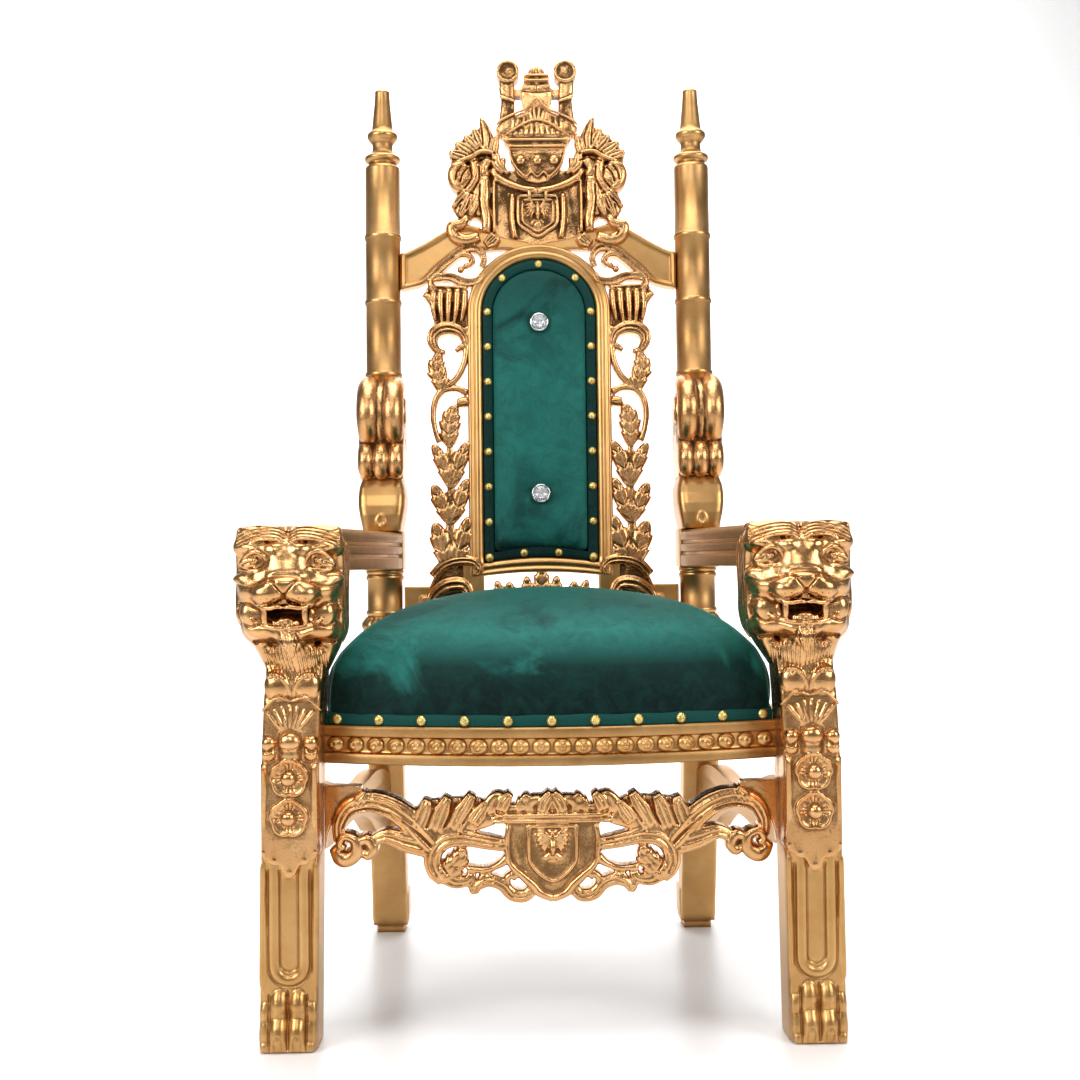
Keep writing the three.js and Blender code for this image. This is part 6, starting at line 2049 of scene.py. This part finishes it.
def nail_shape(radius, height, flutes=12, around=48):
    """A domed nail whose head is fluted into petals, facing -y from the origin."""
    rings = []
    for r, h in ((0.98, 0), (1, 0.12), (0.95, 0.34), (0.82, 0.6), (0.62, 0.82), (0.4, 0.95), (0.3, 0.9),
                 (0.24, 0.98), (0.1, 1.06)):
        ring = []
        for a in np.linspace(0, 2 * math.pi, around, endpoint=False):
            flute = 1 - 0.09 * (1 - abs(math.cos(flutes * a / 2))) if 0.35 < r < 0.99 else 1
            ring.append((radius * r * flute * math.cos(a), -height * h * flute,
                         radius * r * flute * math.sin(a)))
        rings.append(ring)
    return loft(rings)


class THRONE_OT_trim(bpy.types.Operator):
    """Drives the upholstery nails and sets the two crystal buttons"""

    bl_idname = "throne.trim"
    bl_label = "Nails and buttons"

    def execute(self, context):
        trim = context.scene.throne_trim
        radius = trim.nail / MM / 2
        for name in sorted(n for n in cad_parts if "_nail_" in n):
            low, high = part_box(name)
            centre = (low + high) / 2
            back = name.startswith("back")
            slope = 0 if back else math.atan(2 * RAIL_BOW * (centre.x / MM) / RAIL_REACH**2)
            turn = Matrix.Rotation(-BACK_RAKE, 4, "X") if back else Matrix.Rotation(slope, 4, "Z")
            at = Vector((centre.x, high.y if back else centre.y + 0.0012, centre.z))
            make_piece(f"{name}_brass", [nail_shape(radius, NAIL_HEIGHT)], [name], "nail_brass", brass(),
                       matrix=Matrix.Translation(at) @ turn, recess=False)
        rim = bpy.data.materials.get("Silver rim") or silver_finish()
        glass = bpy.data.materials.get("Cut crystal") or crystal_finish()
        r = trim.button / MM / 2
        for name in ("crystal_button_upper", "crystal_button_lower"):
            low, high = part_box(name)
            at = Matrix.Translation(Vector((0, high.y + 0.001,
                (low.z + high.z) / 2))) @ Matrix.Rotation(-BACK_RAKE, 4, "X")
            cup = [(0.1, 0), (r, 0), (r, -2.5), (r * 0.93, -4.2), (r * 0.82, -4.2), (r * 0.8, -2.4),
                   (0.1, -2.2)]
            points, faces = turned(cup, 56)
            points = points[:, [0, 2, 1]]
            make_piece(f"{name}_rim", [(points, faces)], [name], "crystal", rim, matrix=at, recess=False)
            cut = [(0.1, -2.3), (r * 0.8, -2.4), (r * 0.8, -3.8), (r * 0.55, -6.6), (r * 0.3, -7.4),
                   (0.1, -7.4)]
            points, faces = turned(cut, 12)
            make_piece(f"{name}_glass", [(points[:, [0, 2, 1]], faces)], [name], "crystal", glass,
                       matrix=at, recess=False, flat=True)
        return {"FINISHED"}


# Stage


class THRONE_OT_stage(bpy.types.Operator):
    """Sets the pale floor, the soft lights and the camera"""

    bl_idname = "throne.stage"
    bl_label = "Stage"

    def execute(self, context):
        scene = context.scene
        stage = scene.throne_stage
        floor_finish, tree, shader = node_tree("Pale floor")
        grain = noise(tree, 30, 2)
        tree.links.new(ramp(tree, grain, [(0, list(stage.floor)), (1, [c * 1.02 for c in stage.floor])]),
                       shader.inputs["Base Color"])
        shader.inputs["Roughness"].default_value = 0.32
        corners = [(-6, -6, 0), (6, -6, 0), (6, 4, 0), (-6, 4, 0),
                   (6, 5.2, 1.2), (-6, 5.2, 1.2), (6, 5.4, 7), (-6, 5.4, 7)]
        floor = new_object("floor", corners, [(0, 1, 2, 3), (3, 2, 4, 5), (5, 4, 6, 7)])
        floor.data.materials.append(floor_finish)
        world = bpy.data.worlds.new("Studio")
        world.use_nodes = True
        set_sockets(world.node_tree.nodes["Background"], {"Color": (0.2, 0.195, 0.19, 1), "Strength": 1})
        scene.world = world
        scene.view_settings.view_transform = "Standard"
        lamps = [
            ("left_softbox", (-2.2, -1.9, 1.7), (0, 0, 0.6), 1.5, 52),
            ("right_softbox", (2.3, -1.7, 1.6), (0, 0, 0.6), 1.4, 40),
            ("top_softbox", (0, -0.3, 3), (0, 0, 0.5), 2, 60),
            ("front_softbox", (-0.3, -3.4, 2.6), (0, 0, 0.6), 1.2, 24),
            ("backdrop_wash", (0, 2.6, 3.4), (0, 5.4, 1), 3, 190),
            ("floor_wash", (0, 1.6, 2.8), (0, 2.2, 0), 2.6, 60),
        ]
        for name, place, aim, size, power in lamps:
            lamp = bpy.data.lights.new(name, "AREA")
            lamp.shape = "SQUARE"
            lamp.size = size
            lamp.energy = power
            holder = bpy.data.objects.new(name, lamp)
            holder.location = place
            holder.rotation_euler = (Vector(aim) - Vector(place)).to_track_quat("-Z", "Y").to_euler()
            scene.collection.objects.link(holder)
        camera = bpy.data.cameras.new("camera")
        camera.lens = stage.focal
        camera.sensor_width = 36
        holder = bpy.data.objects.new("camera", camera)
        turn = Matrix.Identity(4)
        for degrees, axis in CAMERA_TURNS:
            turn = turn @ Matrix.Rotation(math.radians(degrees), 4, axis)
        holder.matrix_world = Matrix.Translation(CAMERA_PLACE) @ turn
        scene.collection.objects.link(holder)
        scene.camera = holder
        return {"FINISHED"}


class THRONE_PT_panel(bpy.types.Panel):
    """Lists the throne's sizes, finishes and pieces"""

    bl_idname = "THRONE_PT_panel"
    bl_label = "Carved throne"
    bl_space_type = "VIEW_3D"
    bl_region_type = "UI"
    bl_category = "Throne"

    def draw(self, context):
        for group in GROUPS:
            box = self.layout.box()
            settings = getattr(context.scene, group)
            for name in settings.bl_rna.properties.keys():
                if name not in ("rna_type", "name"):
                    box.prop(settings, name)
        for operator in OPERATORS:
            self.layout.operator(operator.bl_idname)


GROUPS = {
    "throne_gilding": ThroneGilding,
    "throne_velvet": ThroneVelvet,
    "throne_carving": ThroneCarving,
    "throne_trim": ThroneTrim,
    "throne_stage": ThroneStage,
}
OPERATORS = [
    THRONE_OT_stage,
    THRONE_OT_legs,
    THRONE_OT_posts,
    THRONE_OT_arms,
    THRONE_OT_rails,
    THRONE_OT_apron,
    THRONE_OT_back,
    THRONE_OT_crest,
    THRONE_OT_seat,
    THRONE_OT_back_pad,
    THRONE_OT_trim,
]


def register():
    for cls in (*GROUPS.values(), *OPERATORS, THRONE_PT_panel):
        bpy.utils.register_class(cls)
    for name, group in GROUPS.items():
        setattr(bpy.types.Scene, name, bpy.props.PointerProperty(type=group))


def unregister():
    for name in GROUPS:
        delattr(bpy.types.Scene, name)
    for cls in reversed((*GROUPS.values(), *OPERATORS, THRONE_PT_panel)):
        bpy.utils.unregister_class(cls)


def main():
    register()
    for operator in OPERATORS:
        group, name = operator.bl_idname.split(".")
        getattr(getattr(bpy.ops, group), name)()


if __name__ == "__main__":
    main()
